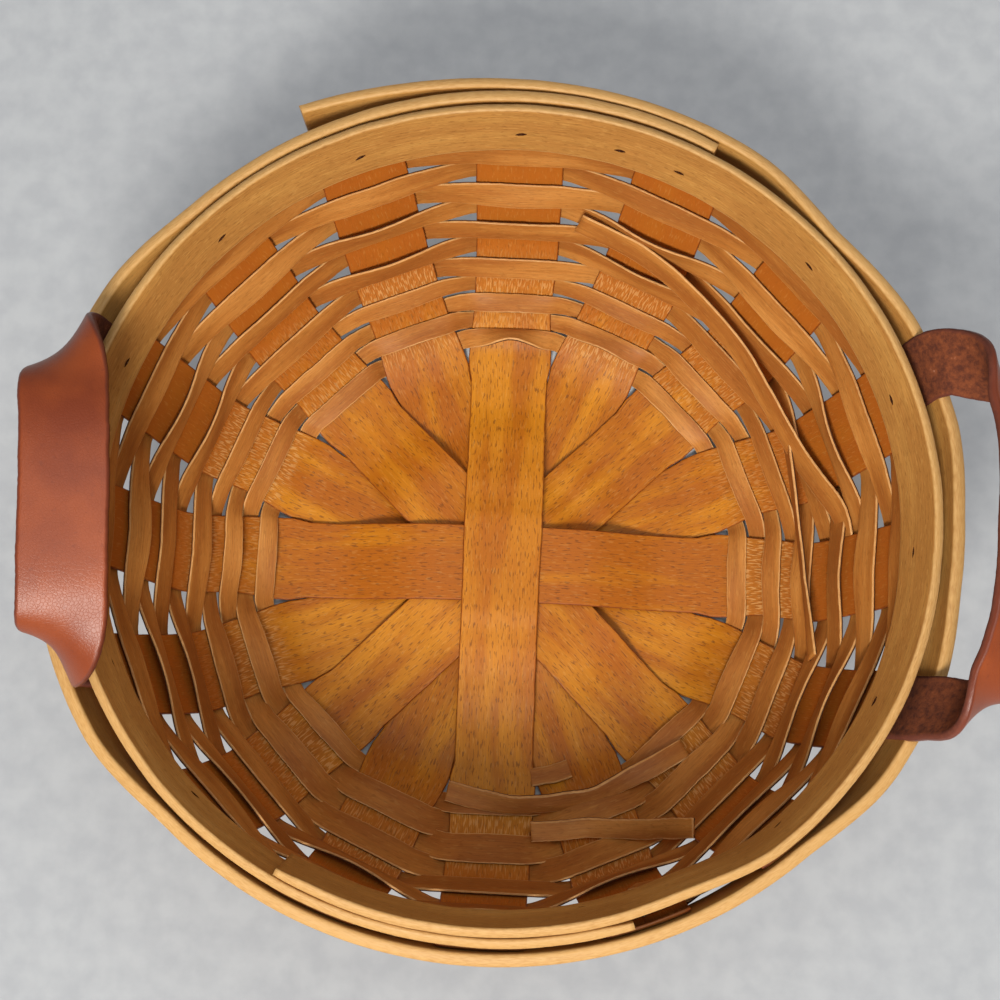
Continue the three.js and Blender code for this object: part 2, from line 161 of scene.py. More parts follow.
def towards(wanted, vectors):
    """The vectors, turned round where they point away from the wanted ones."""
    return vectors * np.sign(dot(vectors, wanted))


def length_along(points):
    """Distance from the first point to each, summed along the line."""
    return np.concatenate([[0], np.cumsum(np.linalg.norm(np.diff(points, axis=0), axis=1))])


print("a wave's spread:", round(float(np.std(waves(np.linspace(0, 1, 500), 0.05, 1))), 2))

# %% [markdown]
# ## The wall that every strip follows
#
# The base is flat as far as the stakes touch one another. Past it the wall turns up fast and
# then ever slower, so its slope is a falling exponential of the length along it. One function
# gives radius, height and slope there for whole arrays. A second gives points and directions
# on it: angles run clockwise from the far side, and lift is measured into the basket from
# the middle of the stakes.

# %% Wall
splint_count = 8
stake_count = 2 * splint_count
stake_pitch = 360 / stake_count
splint_width = 18 * mm
splint_thickness = 0.8 * mm
base_margin = 0.35 * mm
knee_length = 16.4 * mm
wall_slope = np.radians(71.1)
rim_oval_share = 0.015
pull_turn, pull_lean = 0.6, 3.1
pull_height = 24 * mm
near_bulge = 7.3 * mm
near_power = 1.1
bulge_rise_start, bulge_rise_end = 1 * mm, 20 * mm
bulge_fall_start, bulge_fall_end = 24 * mm, 60 * mm
bulge_fall_power = 2.4
bulge_border = 9 * mm
rim_bulge_share = 0.17
stake_half_tan = np.tan(np.radians(stake_pitch / 2))
base_flat_radius = splint_width / 2 / stake_half_tan + base_margin

weaver_thickness = 0.8 * mm
first_row_start = 9.3 * mm
low_row_count = 4
high_row_count = 7
low_weaver_width = 4.4 * mm
high_weaver_width = 5.95 * mm
row_gap = 0.33 * mm

band_height = 14.5 * mm
band_over_row = 0.8 * mm
stake_top_below_rim = 2.2 * mm

high_widths = [high_weaver_width] * (high_row_count + 1)
row_widths = np.array([low_weaver_width] * low_row_count + high_widths)
row_arcs = first_row_start + np.cumsum(row_widths + row_gap) - row_gap - row_widths / 2
band_low_arc = row_arcs[-2] + row_widths[-2] / 2 - band_over_row
band_mid_arc = band_low_arc + band_height / 2
rim_arc = band_low_arc + band_height
stake_top_arc = rim_arc - stake_top_below_rim

table_step = 0.1 * mm
table_past_rim = 10 * mm
table_arcs = np.arange(0, rim_arc + table_past_rim, table_step)
table_slopes = wall_slope * (1 - np.exp(-(table_arcs + table_step / 2) / knee_length))
table_radii = base_flat_radius + table_step * (np.cumsum(np.cos(table_slopes)) - np.cos(table_slopes))
table_heights = table_step * (np.cumsum(np.sin(table_slopes)) - np.sin(table_slopes))


def wall_at(arc):
    """Radius and height summed up along the outline; flat where arc is below zero."""
    arc = np.asarray(arc, float)
    radius = np.where(arc < 0, base_flat_radius + arc, np.interp(arc, table_arcs, table_radii))
    height = np.interp(arc, table_arcs, table_heights)
    slope = wall_slope * (1 - np.exp(-np.maximum(arc, 0) / knee_length))
    return radius, height, slope


def rows_of(x, y, z):
    """Points or directions from their three parts, one to a row."""
    return np.stack(np.broadcast_arrays(x, y, z), axis=-1)


def wall_frame(angle, arc, lift=0.0):
    """Point = radial * radius + height, moved by lift along the inward normal. Also gives the
    directions up the wall, inward, and along the row."""
    radius, height, slope = wall_at(arc)
    turn = np.radians(angle)
    radial_x, radial_y = np.sin(turn), np.cos(turn)
    up = rows_of(radial_x * np.cos(slope), radial_y * np.cos(slope), np.sin(slope))
    inward = rows_of(-radial_x * np.sin(slope), -radial_y * np.sin(slope), np.cos(slope))
    tangent = rows_of(radial_y, -radial_x, 0 * slope)
    point = rows_of(radial_x * radius, radial_y * radius, splint_thickness / 2 + height)
    return point + np.asarray(lift)[..., None] * inward, up, inward, tangent


rim_height = splint_thickness / 2 + float(wall_at(rim_arc)[1])


def make_oval(points):
    """The higher a point, the more x grows and y shrinks, up to the oval share at the rim."""
    share = rim_oval_share * points[..., 2:3] / rim_height
    return points * np.concatenate([1 + share, 1 - share, np.ones_like(share)], axis=-1)


def spin(points, degrees):
    """Turns points clockwise about the basket's axis, each by its own angle."""
    sine, cosine = np.sin(np.radians(degrees)), np.cos(np.radians(degrees))
    x, y, z = np.moveaxis(points, -1, 0)
    return np.stack([cosine * x + sine * y, cosine * y - sine * x, z], axis=-1)


def near_share(angle):
    """Cosine of the angle from the near side, raised to a power, and 0 on the far half."""
    return np.maximum(-np.cos(angle), 0) ** near_power


def share_between(value, start, end):
    """Straight step: 0 up to the start, 1 from the end on."""
    return np.clip((value - start) / (end - start), 0, 1)


def pull_near(points):
    """The weave was pulled towards the near side as it rose. Turn = one small angle plus a
    larger one times the sine of the angle, growing from the base to the pull height. The wall
    also bulges there: outwards by a cubic step up from the base, times a curve that falls to
    a small share below the bands, times the near share."""
    angle = np.arctan2(points[..., 0], points[..., 1])
    height = points[..., 2]
    points = spin(points, smooth(height / pull_height) * (pull_turn + pull_lean * np.sin(angle)))
    radius = np.hypot(points[..., 0], points[..., 1])
    rise = smooth(share_between(height, bulge_rise_start, bulge_rise_end))
    fallen = share_between(height, bulge_fall_start, bulge_fall_end) ** bulge_fall_power
    fall = 1 - (1 - rim_bulge_share) * fallen
    off_base = share_between(radius, base_flat_radius, base_flat_radius + bulge_border)
    outward = near_bulge * rise * fall * off_base * near_share(angle)
    stretch = (1 + outward / np.maximum(radius, mm))[..., None]
    return points * np.concatenate([stretch, stretch, np.ones_like(stretch)], axis=-1)


print("rim in mm: height %.1f, radius %.1f" % (rim_height / mm, float(wall_at(rim_arc)[0]) / mm))

# %% [markdown]
# ## Strips
#
# Every piece of the basket, wood or leather, is a strip: a thin rounded rectangle carried
# along a path. The path gives, for each step, a centre, the direction of the strip's width
# and the direction of its thickness. The section is a ring of points, across one face and
# back along the other, with its four corners rounded as knife-cut edges are. A map of real
# lengths, along and across, lets the grain follow the strip wherever it bends. Numbers stored
# at the points tell the materials which points lie on a cut edge, which face they are on,
# and where the grain is torn.

# %% Strip section
corner_steps = 3
edge_band = 0.4 * mm
edge_fade = 0.6


def strip_section(width, across_count):
    """Columns of the ring: side and bend give the place across, level and rise the place
    through, edge marks the cut edges, and face falls from 1 on one face to 0 on the other."""
    border = 1 - 2 * edge_band / width
    flat = np.concatenate([[-1], np.linspace(-border, border, across_count), [1]])
    corner = np.radians(np.linspace(90, 0, corner_steps + 1)[1:])
    turn = np.concatenate([corner, -corner[-2::-1]])
    level = np.concatenate([np.ones(corner_steps), -np.ones(corner_steps - 1)])
    count = len(flat)
    ones = np.ones(len(turn))
    side = np.concatenate([flat, ones, flat[::-1], -ones])
    bend = np.concatenate([0 * flat, np.cos(turn), 0 * flat, -np.cos(turn)])
    levels = np.concatenate([np.ones(count), level, -np.ones(count), -level])
    rise = np.concatenate([np.ones(count), np.sin(turn), -np.ones(count), -np.sin(turn)])
    soft = np.concatenate([[edge_fade], np.zeros(across_count), [edge_fade]])
    edge = np.concatenate([soft, ones, soft, ones])
    face = (2 + levels + rise) / 4
    return side, bend, levels, rise, edge, face


def ring_faces(row_count, ring_count, closed):
    """Four-cornered faces between neighbouring rings, and their grid places."""
    rows = np.arange(row_count if closed else row_count - 1)
    ring, spot = [a.ravel() for a in np.meshgrid(rows, np.arange(ring_count), indexing="ij")]
    row_steps = np.stack([ring, ring, ring + 1, ring + 1], axis=1)
    column_steps = np.stack([spot, spot + 1, spot + 1, spot], axis=1)
    faces = (row_steps % row_count) * ring_count + column_steps % ring_count
    return faces, row_steps, column_steps


def faces_inward(points, faces):
    """True where the volume summed over the faces, seen from the middle, is negative."""
    a, b, c, d = (points[faces[:, i]] - points.mean(axis=0) for i in range(4))
    volume = np.einsum("ij,ij->i", a, np.cross(b, c)) + np.einsum("ij,ij->i", a, np.cross(c, d))
    return volume.sum() < 0


print("points round a strip:", len(strip_section(splint_width, 9)[0]))

# %% Strip mesh
rag_long, rag_short = 9 * mm, 1.6 * mm
rag_short_share = 0.5


def mesh_piece(name, grid, along, across, closed, marks):
    """One mesh from a grid of points, its rows along the strip and its columns round it."""
    row_count, ring_count = grid.shape[:2]
    points = grid.reshape(-1, 3)
    faces, row_steps, column_steps = ring_faces(row_count, ring_count, closed)
    if faces_inward(points, faces):
        faces, row_steps, column_steps = (a[:, ::-1] for a in (faces, row_steps, column_steps))
    ends = []
    if not closed:
        first = np.arange(ring_count)
        last = first + (row_count - 1) * ring_count
        corners = faces[0].tolist()
        forward = corners.index(0) == (corners.index(1) + 3) % 4
        ends = [first[::-1].tolist(), last.tolist()]
        if not forward:
            ends = [first.tolist(), last[::-1].tolist()]
    mesh = bpy.data.meshes.new(name)
    mesh.from_pydata(points.tolist(), [], faces.tolist() + ends)
    lengths = np.append(along, 2 * along[-1] - along[-2])
    widths = np.append(across, 2 * across[-1] - across[-2])
    places = np.zeros((len(mesh.loops), 2), np.float32)
    places[:faces.size, 0] = lengths[row_steps].ravel()
    places[:faces.size, 1] = widths[column_steps].ravel()
    mesh.uv_layers.new(name="strip").data.foreach_set("uv", places.ravel())
    for label, values in marks.items():
        values = np.broadcast_to(values, (row_count, ring_count)).astype(np.float32)
        mesh.attributes.new(label, "FLOAT", "POINT").data.foreach_set("value", values.ravel())
    mesh.shade_smooth()
    piece = bpy.data.objects.new(name, mesh)
    bpy.context.scene.collection.objects.link(piece)
    return piece


def strip(name, centres, width_axes, face_axes, width, thickness, across_count=7, closed=False,
          rag=0.0, cup=0.0, seed=0, corner_share=0.8, tone=None, torn=0.0, settle=pull_near):
    """Point = centre + width axis * reach + face axis * lift. Rag moves the two cut edges in
    and out on their own, and cup lifts the middle of the faces by a parabola."""
    length = length_along(centres)
    whole = length[-1] + np.linalg.norm(centres[0] - centres[-1]) if closed else None
    width = column(np.broadcast_to(width, len(centres)))
    thickness = column(np.broadcast_to(thickness, len(centres)))
    side, bend, level, rise, edge, face = strip_section(width.mean(), across_count)
    ragged = [rag * (waves(length, rag_long, seed + k, whole)
                     + rag_short_share * waves(length, rag_short, seed + k + 2, whole))
              for k in (0, 1)]
    ragged = np.where(side < 0, column(ragged[0]), column(ragged[1]))
    corner = corner_share * thickness / 2
    reach = side * (width / 2 + ragged - corner) + bend * corner
    lift = level * (thickness / 2 - corner) + rise * corner
    lift = lift + column(cup) * (1 - side ** 2)
    grid = centres[:, None] + reach[..., None] * width_axes[:, None]
    grid = settle(make_oval(grid + lift[..., None] * face_axes[:, None]))
    steps = np.hypot(np.diff(side) * width.mean() / 2, np.diff(level + rise) * thickness.mean() / 2)
    across = np.concatenate([[0], np.cumsum(steps)])
    offset = np.random.default_rng(seed + 90).uniform(0, 1, 2)
    tone = column(offset[0] if tone is None else tone)
    marks = {"edge": edge, "face": face, "tone": tone, "torn": column(torn)}
    return mesh_piece(name, grid, offset[0] + length, offset[1] + across, closed, marks)


def dress(piece, material, body="basket", replaces=()):
    """Gives a finished piece its material, its body and the solids that it stands for."""
    piece.data.materials.append(material)
    if body:
        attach(piece, body)
    if replaces:
        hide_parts(*replaces)
    return piece


print("ready to make strips")

# %% [markdown]
# ## Building materials from nodes
#
# Each material is a small graph of nodes. One helper adds a node, sets its fields and links
# its inputs, so that every finish below reads as a short list. Colours are written as the
# hex values that a screen shows, and one function turns them into the linear light that the
# renderer adds up.

# %% Node helpers
in_colour = {"data_type": "RGBA"}
times = {"operation": "MULTIPLY"}


def colour(hex_value):
    """sRGB to linear: a straight foot up to 0.04045, and a power of 2.4 above it."""
    shown = np.array([int(hex_value[i:i + 2], 16) for i in (1, 3, 5)]) / 255
    linear = np.where(shown <= 0.04045, shown / 12.92, ((shown + 0.055) / 1.055) ** 2.4)
    return (*linear.tolist(), 1.0)


def fill(socket, value):
    """Sets an input to a plain value, or links it to a node's first live output, or to the
    output that a pair of a node and a name gives. None leaves it as it is."""
    if isinstance(value, bpy.types.Node):
        value = (value, next(out.name for out in value.outputs if out.enabled))
    if isinstance(value, tuple) and isinstance(value[0], bpy.types.Node):
        source = next(out for out in value[0].outputs if out.enabled and out.name == value[1])
        socket.id_data.links.new(source, socket)
    elif value is not None:
        socket.default_value = value


def add_node(tree, kind, *values, **fields):
    """Adds a node. The values fill its live inputs in order. A field is an input that has
    that name, or else one of the node's settings."""
    node = tree.nodes.new("ShaderNode" + kind)
    named = {key: fields.pop(key) for key in list(fields) if key in node.inputs}
    for key, value in fields.items():
        setattr(node, key, value)
    for socket, value in zip([socket for socket in node.inputs if socket.enabled], values):
        fill(socket, value)
    for key, value in named.items():
        fill(node.inputs[key], value)
    return node


def new_material(name):
    """A new material, the helper that adds nodes to it, and its surface."""
    material = bpy.data.materials.new(name)
    material.use_nodes = True
    tree = material.node_tree
    return material, partial(add_node, tree), next(n for n in tree.nodes if n.type == "BSDF_PRINCIPLED")


def finish_surface(surface, base, roughness, specular=0.5, ior=1.5, **others):
    """Fills the surface's inputs. A metal gives None for its IOR, which keeps the default."""
    inputs = {"Base Color": base, "Roughness": roughness, "Specular IOR Level": specular,
              "IOR": ior, **others}
    for label, value in inputs.items():
        fill(surface.inputs[label], value)


def layered(node, base, *layers):
    """A base colour with a stain laid over it by each layer's share, in order."""
    base = colour(base) if isinstance(base, str) else base
    for share, stain in layers:
        base = node("Mix", share, base, colour(stain), **in_colour)
    return base


def grain(node, along_mm, across_mm, detail=2.0, offset=0.0, rough=0.5):
    """Noise on the strip's own map, stretched: one lump is along_mm long and across_mm wide."""
    size = (1 / (along_mm * mm), 1 / (across_mm * mm), 1.0)
    placed = node("Mapping", Vector=node("UVMap", uv_map="strip"), Scale=size,
                  Location=(offset, 0.37 * offset, 0.0))
    return node("TexNoise", Vector=placed, Scale=1.0, Detail=detail, Roughness=rough,
                noise_dimensions="2D")


def marks_of(node, *labels):
    """The numbers stored at a strip's points, each as a value to link."""
    return [(node("Attribute", attribute_name=label), "Fac") for label in labels]


print("helpers for nodes are ready")

# %% [markdown]
# ## Stained maple
#
# The strips are maple veneer, sliced thin, soaked, woven and then dipped in a honey-brown
# stain and sealed with a thin satin finish. To the eye that means: soft lighter and darker
# clouds a few centimetres long, fine lines along the grain, short dark pores like pencil
# dashes, cut edges where the stain is paler, and torn grain where a stake was bent at the
# knee and its fibres lifted. Some colour is painted light: a painted highlight on the pale
# cut edges, painted shade on the splints' dark cut edges and along the lower half of every
# cut edge, partly painted shade in the browner tone up the wall, and painted shade on the
# stake tops between the bands. The three wood finishes share one recipe, each with its own
# stains, and how much of every mark it shows.

# %% Wood materials
cloud_mm, line_mm, pore_mm = (38, 6), (11, 0.32), (2.1, 0.36)
fleck_mm, shred_mm, edge_patch_mm = (2.6, 0.42), (2.0, 0.34), (1.8, 0.6)
# The third colour is painted shade: it darkens the stake tops between the bands and the lower half of cut
# edges, where shadow falls.
pore_stain, fleck_stain, painted_shade_brown = "#6B3A10", "#E2B468", "#3A1406"
torn_stain, shred_light, shred_dark = "#BC7A36", "#E6BC7E", "#8A4A12"
risen_from, risen_full = 2 * mm, 18 * mm
pores_from, pores_gone = 12 * mm, 34 * mm
# Heights of the painted shade on the stake tops, in the gap between the bands.
top_shade_from, top_shade_full = rim_height - 7 * mm, rim_height - 3 * mm


def wood_material(name, deep, plain, pale, edge_stain_and_light, pore_depth, fleck_depth, line_depth,
                  roughness, edge_shade_depth, rising_tone_and_shade=None):
    """Stained maple veneer: clouds of tone, grain lines, pores, flecks, and cut edges in the edge
    colour, stain with a painted highlight where pale and with painted shade where dark, and a
    painted contact shadow near the second face. With a rising tone, partly the wood's own and
    partly painted shade, the wood turns to it, and loses its pores, between the base and mid
    wall, and its tops get painted shade, dark in the gap between the bands."""
    material, node, surface = new_material(name)
    tone, torn, edge, face = marks_of(node, "tone", "torn", "edge", "face")
    clouds = grain(node, *cloud_mm, detail=3)
    shifted = node("Math", clouds, node("MapRange", tone, -0.5, 1.5, -0.2, 0.2), operation="ADD")
    base = layered(node, deep, (node("MapRange", shifted, 0.36, 0.54), plain),
                   (node("MapRange", shifted, 0.52, 0.70), pale))
    lines = grain(node, *line_mm, detail=4, offset=3.1, rough=0.65)
    lines_step = node("MapRange", lines, 0.35, 0.65, 1 - line_depth, 1 + 0.6 * line_depth)
    base = node("Mix", 1.0, base, lines_step, blend_type="MULTIPLY", **in_colour)
    pores = grain(node, *pore_mm, detail=1, offset=7.7)
    pores = node("MapRange", pores, 0.64, 0.69, 0.0, pore_depth)
    if rising_tone_and_shade:
        # The rising tone is partly the stakes' own browner tone and partly painted shade.
        height = (node("SeparateXYZ", (node("TexCoord"), "Object")), "Z")
        base = layered(
            node, base, (node("MapRange", height, risen_from, risen_full, 0.0, 0.85), rising_tone_and_shade),
            # Painted shade darkens the stake tops in the gap between the bands.
            (node("MapRange", height, top_shade_from, top_shade_full, 0.0, 0.85), painted_shade_brown))
        pores = node("Math", pores, node("MapRange", height, pores_from, pores_gone, 1.0, 0.15), **times)
    flecks = grain(node, *fleck_mm, detail=1, offset=12.3)
    shreds = grain(node, *shred_mm, detail=0, offset=21.9)
    # Patches along the cut edges, where the edge colour shows most.
    edge_patches = node("MapRange", grain(node, *edge_patch_mm, detail=3, offset=31.0), 0.3, 0.65, 0.5, 1.0)
    # Painted shade, a contact shadow, on the half of each cut edge near the second face.
    under = node("MapRange", face, 0.55, 0.4, 0.0, edge_shade_depth)
    base = layered(
        node, base, (pores, pore_stain),
        (node("MapRange", flecks, 0.64, 0.72, 0.0, fleck_depth), fleck_stain),
        (node("Math", torn, 0.45, **times), torn_stain),
        (node("Math", torn, node("MapRange", shreds, 0.58, 0.64, 0.0, 0.34), **times), shred_light),
        (node("Math", torn, node("MapRange", shreds, 0.42, 0.36, 0.0, 0.22), **times), shred_dark),
        # Edge colour: stain with a painted highlight where pale, stain with painted shade where dark.
        (node("Math", edge_patches, node("MapRange", edge, 0.5, 1.0), **times), edge_stain_and_light),
        # This layer is the painted contact shadow on the cut edges.
        (node("Math", under, node("MapRange", edge, 0.6, 0.9), **times), painted_shade_brown))
    relief = node("Math", lines, pores, operation="SUBTRACT")
    relief = node("Math", node("Math", shreds, torn, **times), 2.5, relief, operation="MULTIPLY_ADD")
    bump = node("Bump", Height=relief, Strength=0.35, Distance=0.12 * mm)
    sheen = node("MapRange", lines, 0.3, 0.7, roughness - 0.08, roughness + 0.1)
    finish_surface(surface, base, sheen, specular=0.22, Normal=bump)
    return material


# Splints: dark edge colour, stain with painted shade, and a rising tone that is partly painted shade.
splint_wood = wood_material(
    "stained_maple_splint", "#A2590C", "#AE6709", "#C07B15", "#7A3A10", pore_depth=0.65,
    fleck_depth=0.12, line_depth=0.10, roughness=0.5, edge_shade_depth=0.95, rising_tone_and_shade="#A95C1D")
# Weavers: pale edge colour, a paler cut edge with a painted highlight.
weaver_wood = wood_material(
    "stained_maple_weaver", "#9C5D26", "#AE6F30", "#BC7E3C", "#CF9E64", pore_depth=0.25,
    fleck_depth=0.1, line_depth=0.12, roughness=0.52, edge_shade_depth=0.95)
# Bands: pale edge colour, a paler cut edge with a painted highlight.
band_wood = wood_material(
    "bent_maple_band", "#AA763A", "#B68342", "#C0904E", "#C79C62", pore_depth=0.3,
    fleck_depth=0.15, line_depth=0.14, roughness=0.45, edge_shade_depth=0.0)
print("wood materials:", splint_wood.name, weaver_wood.name, band_wood.name)

# %% [markdown]
# ## Splints
#
# Each splint is one long thin board that crosses the base and stands up at both ends as a
# stake. Laid one on another, they bend over whatever lies below them. To find the height of
# each, the splints are laid down in order, and every one rests on the highest point under
# its width, sloping down gently on both sides as a stiff strip does. The surface then runs
# from one stake top, down, across the base and up to the other.

# %% Lay of the splints
lay_pitch = 1.0 * mm
lay_slope_limit = 0.3
lay_margin = 0.2 * mm
lay_across_steps = 17
lay_past_base = 12 * mm
lay_step = base_flat_radius / 12
lay_step_count = int(np.ceil((base_flat_radius + lay_past_base) / lay_step))
lay_places = lay_step * np.arange(lay_step_count + 2)


def lay_rank(splint):
    """How often the splint's number halves: odd ones lie lowest, the far-to-near one on top."""
    rest = splint or splint_count
    return 0 if rest % 2 else 1 + lay_rank(rest // 2)


def lay_splints():
    """Height of each splint at even steps out from the centre: one lay above the highest
    splint below it, then widened by a step and sloped off at the limit."""
    heights = {}
    half = splint_width / 2 + lay_margin
    across = np.linspace(-half, half, lay_across_steps)
    apart = np.abs(lay_places[:, None] - lay_places[None, :])
    for splint in sorted(range(splint_count), key=lambda s: (lay_rank(s), s)):
        needed = np.zeros(len(lay_places))
        for other, other_heights in heights.items():
            turn = np.radians((other - splint) * stake_pitch)
            along = lay_places[:, None] * np.cos(turn) + across * np.sin(turn)
            aside = across * np.cos(turn) - lay_places[:, None] * np.sin(turn)
            over = np.interp(np.abs(along), lay_places, other_heights) + lay_pitch
            needed = np.maximum(needed, np.where(np.abs(aside) <= half, over, 0).max(axis=1))
        padded = np.maximum(needed, np.maximum(
            needed[np.abs(np.arange(len(needed)) - 1)], np.append(needed[1:], needed[-1])))
        heights[splint] = np.maximum((padded[None, :] - lay_slope_limit * apart).max(axis=1), 0)
    return heights


lay_heights = lay_splints()
print("top splint rides at", round(float(lay_heights[0][0]) / mm, 1), "mm at the centre")

# %% Splint surfaces
splint_step = 0.8 * mm
splint_reach = base_flat_radius + stake_top_arc
lay_window = 9
drift_size, drift_length, drift_rise = 0.12 * mm, 60 * mm, 20 * mm
torn_from, torn_rise = 6 * mm, 6 * mm
torn_to, torn_fade = 30 * mm, 10 * mm
patch_least, patch_swing, patch_length = 0.25, 0.8, 25 * mm
knee_spread = 1.6 * mm
knee_spread_from, knee_spread_fade = 6 * mm, 12 * mm
stake_edge_room = 0.1 * mm
splint_waver, splint_waver_length = 0.1 * mm, 45 * mm
rounding_rise = 7 * mm
splint_tones = [1.2, 0.4, 0.7, 0.4, -0.35, 0.45, 0.6, 0.1]
stake_rounding = float(np.hypot(wall_at(rim_arc)[0], splint_width / 2) - wall_at(rim_arc)[0])


def window_average(values, count, mode, **kind):
    """Running average with a bell-shaped window of count steps."""
    window = np.hanning(count) / np.hanning(count).sum()
    return np.convolve(np.pad(values, count // 2, mode=mode, **kind), window, mode="valid")


def splint_path(splint):
    """Even steps from one stake top to the other. Behind the centre the angle turns round."""
    along = np.linspace(-splint_reach, splint_reach, int(2 * splint_reach / splint_step))
    distance = np.abs(along)
    lift = np.interp(distance, lay_places, lay_heights[splint])
    lift = window_average(lift, lay_window, "edge")
    angle = splint * stake_pitch + np.where(along < 0, 180, 0)
    centre, _, inward, _ = wall_frame(angle, distance - base_flat_radius, lift)
    turn = np.radians(splint * stake_pitch)
    tangent = np.broadcast_to([np.cos(turn), -np.sin(turn), 0.0], centre.shape)
    return along, centre, tangent, inward


for splint in range(splint_count):
    along, centre, tangent, inward = splint_path(splint)
    arc = np.abs(along) - base_flat_radius
    drift = drift_size * waves(along, drift_length, 400 + splint) * smooth(arc / drift_rise)
    knee = smooth((arc - torn_from) / torn_rise) * (1 - smooth((arc - torn_to) / torn_fade))
    patchy = smooth(0.5 + patch_swing * waves(along, patch_length, 500 + splint))
    patchy = patch_least + (1 - patch_least) * patchy
    room = 2 * wall_at(arc)[0] * stake_half_tan - stake_edge_room
    broad = splint_width + knee_spread * (1 - smooth((arc - knee_spread_from) / knee_spread_fade))
    width = np.where(arc > 0, np.clip(room, splint_width, broad), splint_width)
    width = width + splint_waver * waves(along, splint_waver_length, 600 + splint)
    rounding = stake_rounding * smooth((arc - band_low_arc) / rounding_rise)
    centre = centre + column(drift) * tangent + column(rounding) * inward
    name = f"base_splint_{splint + 1}"
    piece = strip(name, centre, tangent, inward, width, splint_thickness, across_count=9,
                  rag=0.05 * mm, cup=-rounding, seed=20 * splint, tone=splint_tones[splint],
                  torn=knee * patchy)
    dress(piece, splint_wood, replaces=[name])
print("splints made, each", len(piece.data.polygons), "faces")

# %% [markdown]
# ## Weaver rows
#
# A weaver passes inside one stake and outside the next. Between stakes it slants through the
# wall, and over a stake it lies flat. The path is therefore a closed line through two points
# at each stake, softened by a running average, because wood can't turn a sharp corner.
#
# Low on the wall a weaver's lower edge has less way to go round than its upper edge, yet both
# are the same length. The spare length lifts the lower edge off each stake that it crosses,
# most of all on the far side, so the strip rolls up onto its upper edge there. That roll is
# what shows the pale cut edge as a bright bow. Higher rows lean a little one way or the
# other, as the hand that packed them down left them.

# %% Weaver paths
edge_clearance = 0.5 * mm
weave_offset = 0.95 * mm
open_weave_rows, open_weave_offset = range(5, 11), 1.1 * mm
seam_step = 5
path_step = 0.6 * mm
soften_length = 1.1 * mm
roll_soften_length = 1.0 * mm
roll_power = 1.3
roll_spread, roll_jitter = 0.15, 4
row_sway, row_sway_length = 0.15 * mm, 70 * mm
row_waver, row_waver_length = 0.1 * mm, 30 * mm
low_lean = 20
far_leans = {1: 46, 2: 36, 3: 24}
far_lean_angle, far_lean_spread = 5, 34
row_leans = {4: 12, 5: 6, 6: -13, 7: -7, 8: -15, 9: 15, 10: 13, 11: 4}
row_drops = {1: 1.0 * mm, 2: 1.25 * mm, 3: 1.4 * mm, 4: 1.2 * mm}
high_row_drop = 0.4 * mm
row_shifts = {1: -1.0 * mm, 2: -0.5 * mm, 3: -0.3 * mm, 4: 0.3 * mm}
near_widened_rows, near_widening = (2, 3, 4), 0.36
row_narrowings = {5: 0.2 * mm, 6: 0.3 * mm, 7: 0.3 * mm, 8: 0.3 * mm, 9: -0.3 * mm, 10: 0.2 * mm}
filler_offset = 0.65 * mm
filler_thickness = 0.45 * mm


def soften(values, step, length):
    """Circular running average with a bell-shaped weight, through the Fourier transform."""
    waves_per_length = np.fft.fftfreq(len(values), step)[:, None]
    weight = np.exp(-2 * (np.pi * waves_per_length * length) ** 2)
    return np.real(np.fft.ifft(np.fft.fft(values, axis=0) * weight, axis=0))


def row_corners(row, arc):
    """Two points on each stake, just past its edges, with their directions. Each row starts
    at another stake, one that it passes outside, so that the seam of its grain is hidden."""
    stakes = np.repeat((np.arange(stake_count) + seam_step * row) % stake_count, 2)
    ends = np.tile([-1, 1], stake_count)
    side = np.where((stakes + row) % 2 == 1, 1, -1)
    offset = open_weave_offset if row in open_weave_rows else weave_offset
    offset = filler_offset if row == filler_row else offset
    dropped = arc - np.where(side < 0, row_drops.get(row, high_row_drop), 0)
    point, up, inward, tangent = wall_frame(stakes * stake_pitch, dropped, side * offset)
    return point + column(ends * (splint_width / 2 + edge_clearance)) * tangent, up, inward


def row_path(row, arc):
    """The closed line through the corners, at even steps, with its directions softened too."""
    corners, up, inward = row_corners(row, arc)
    closed = [np.concatenate([a, a[:1]]) for a in (corners, up, inward)]
    length = length_along(closed[0])
    count = int(length[-1] / path_step)
    places = np.linspace(0, length[-1], count, endpoint=False)
    even = [np.stack([np.interp(places, length, a[:, k]) for k in range(3)], axis=1) for a in closed]
    point, up, inward = (soften(a, length[-1] / count, share * soften_length)
                         for a, share in zip(even, (1, 2, 2)))
    return point, up, inward, places, length[-1]


def stake_phase(point):
    """Nearest stake and how far across it the point is: 0 at its middle, 1 between two."""
    angle = np.degrees(np.arctan2(point[:, 0], point[:, 1])) % 360
    stake = np.round(angle / stake_pitch)
    return angle, stake.astype(int) % stake_count, np.abs(angle / stake_pitch - stake) * 2


def roll_row(point, up, inward, width, roll):
    """Turns the section about its upper edge by roll, or about its lower edge where roll is
    negative, so the other edge lifts off the stake. Its centre moves by width / 2 * (1 - cos)
    towards the edge that stays, and by width / 2 * sin into the basket."""
    sine, cosine = column(np.sin(roll)), column(np.cos(roll))
    moved = point + width / 2 * (np.sign(sine) * (1 - cosine) * up + np.abs(sine) * inward)
    return moved, cosine * up - sine * inward, cosine * inward + sine * up


def row_lean(row, angle):
    """How far a row leans over its stakes, in degrees: the low rows most at the far side."""
    if row in row_leans:
        return row_leans[row] + 0 * angle
    if row > low_row_count:
        return 0 * angle
    from_far = (angle - far_lean_angle + 180) % 360 - 180
    return low_lean + far_leans[row] * np.exp(-(from_far / far_lean_spread) ** 2)


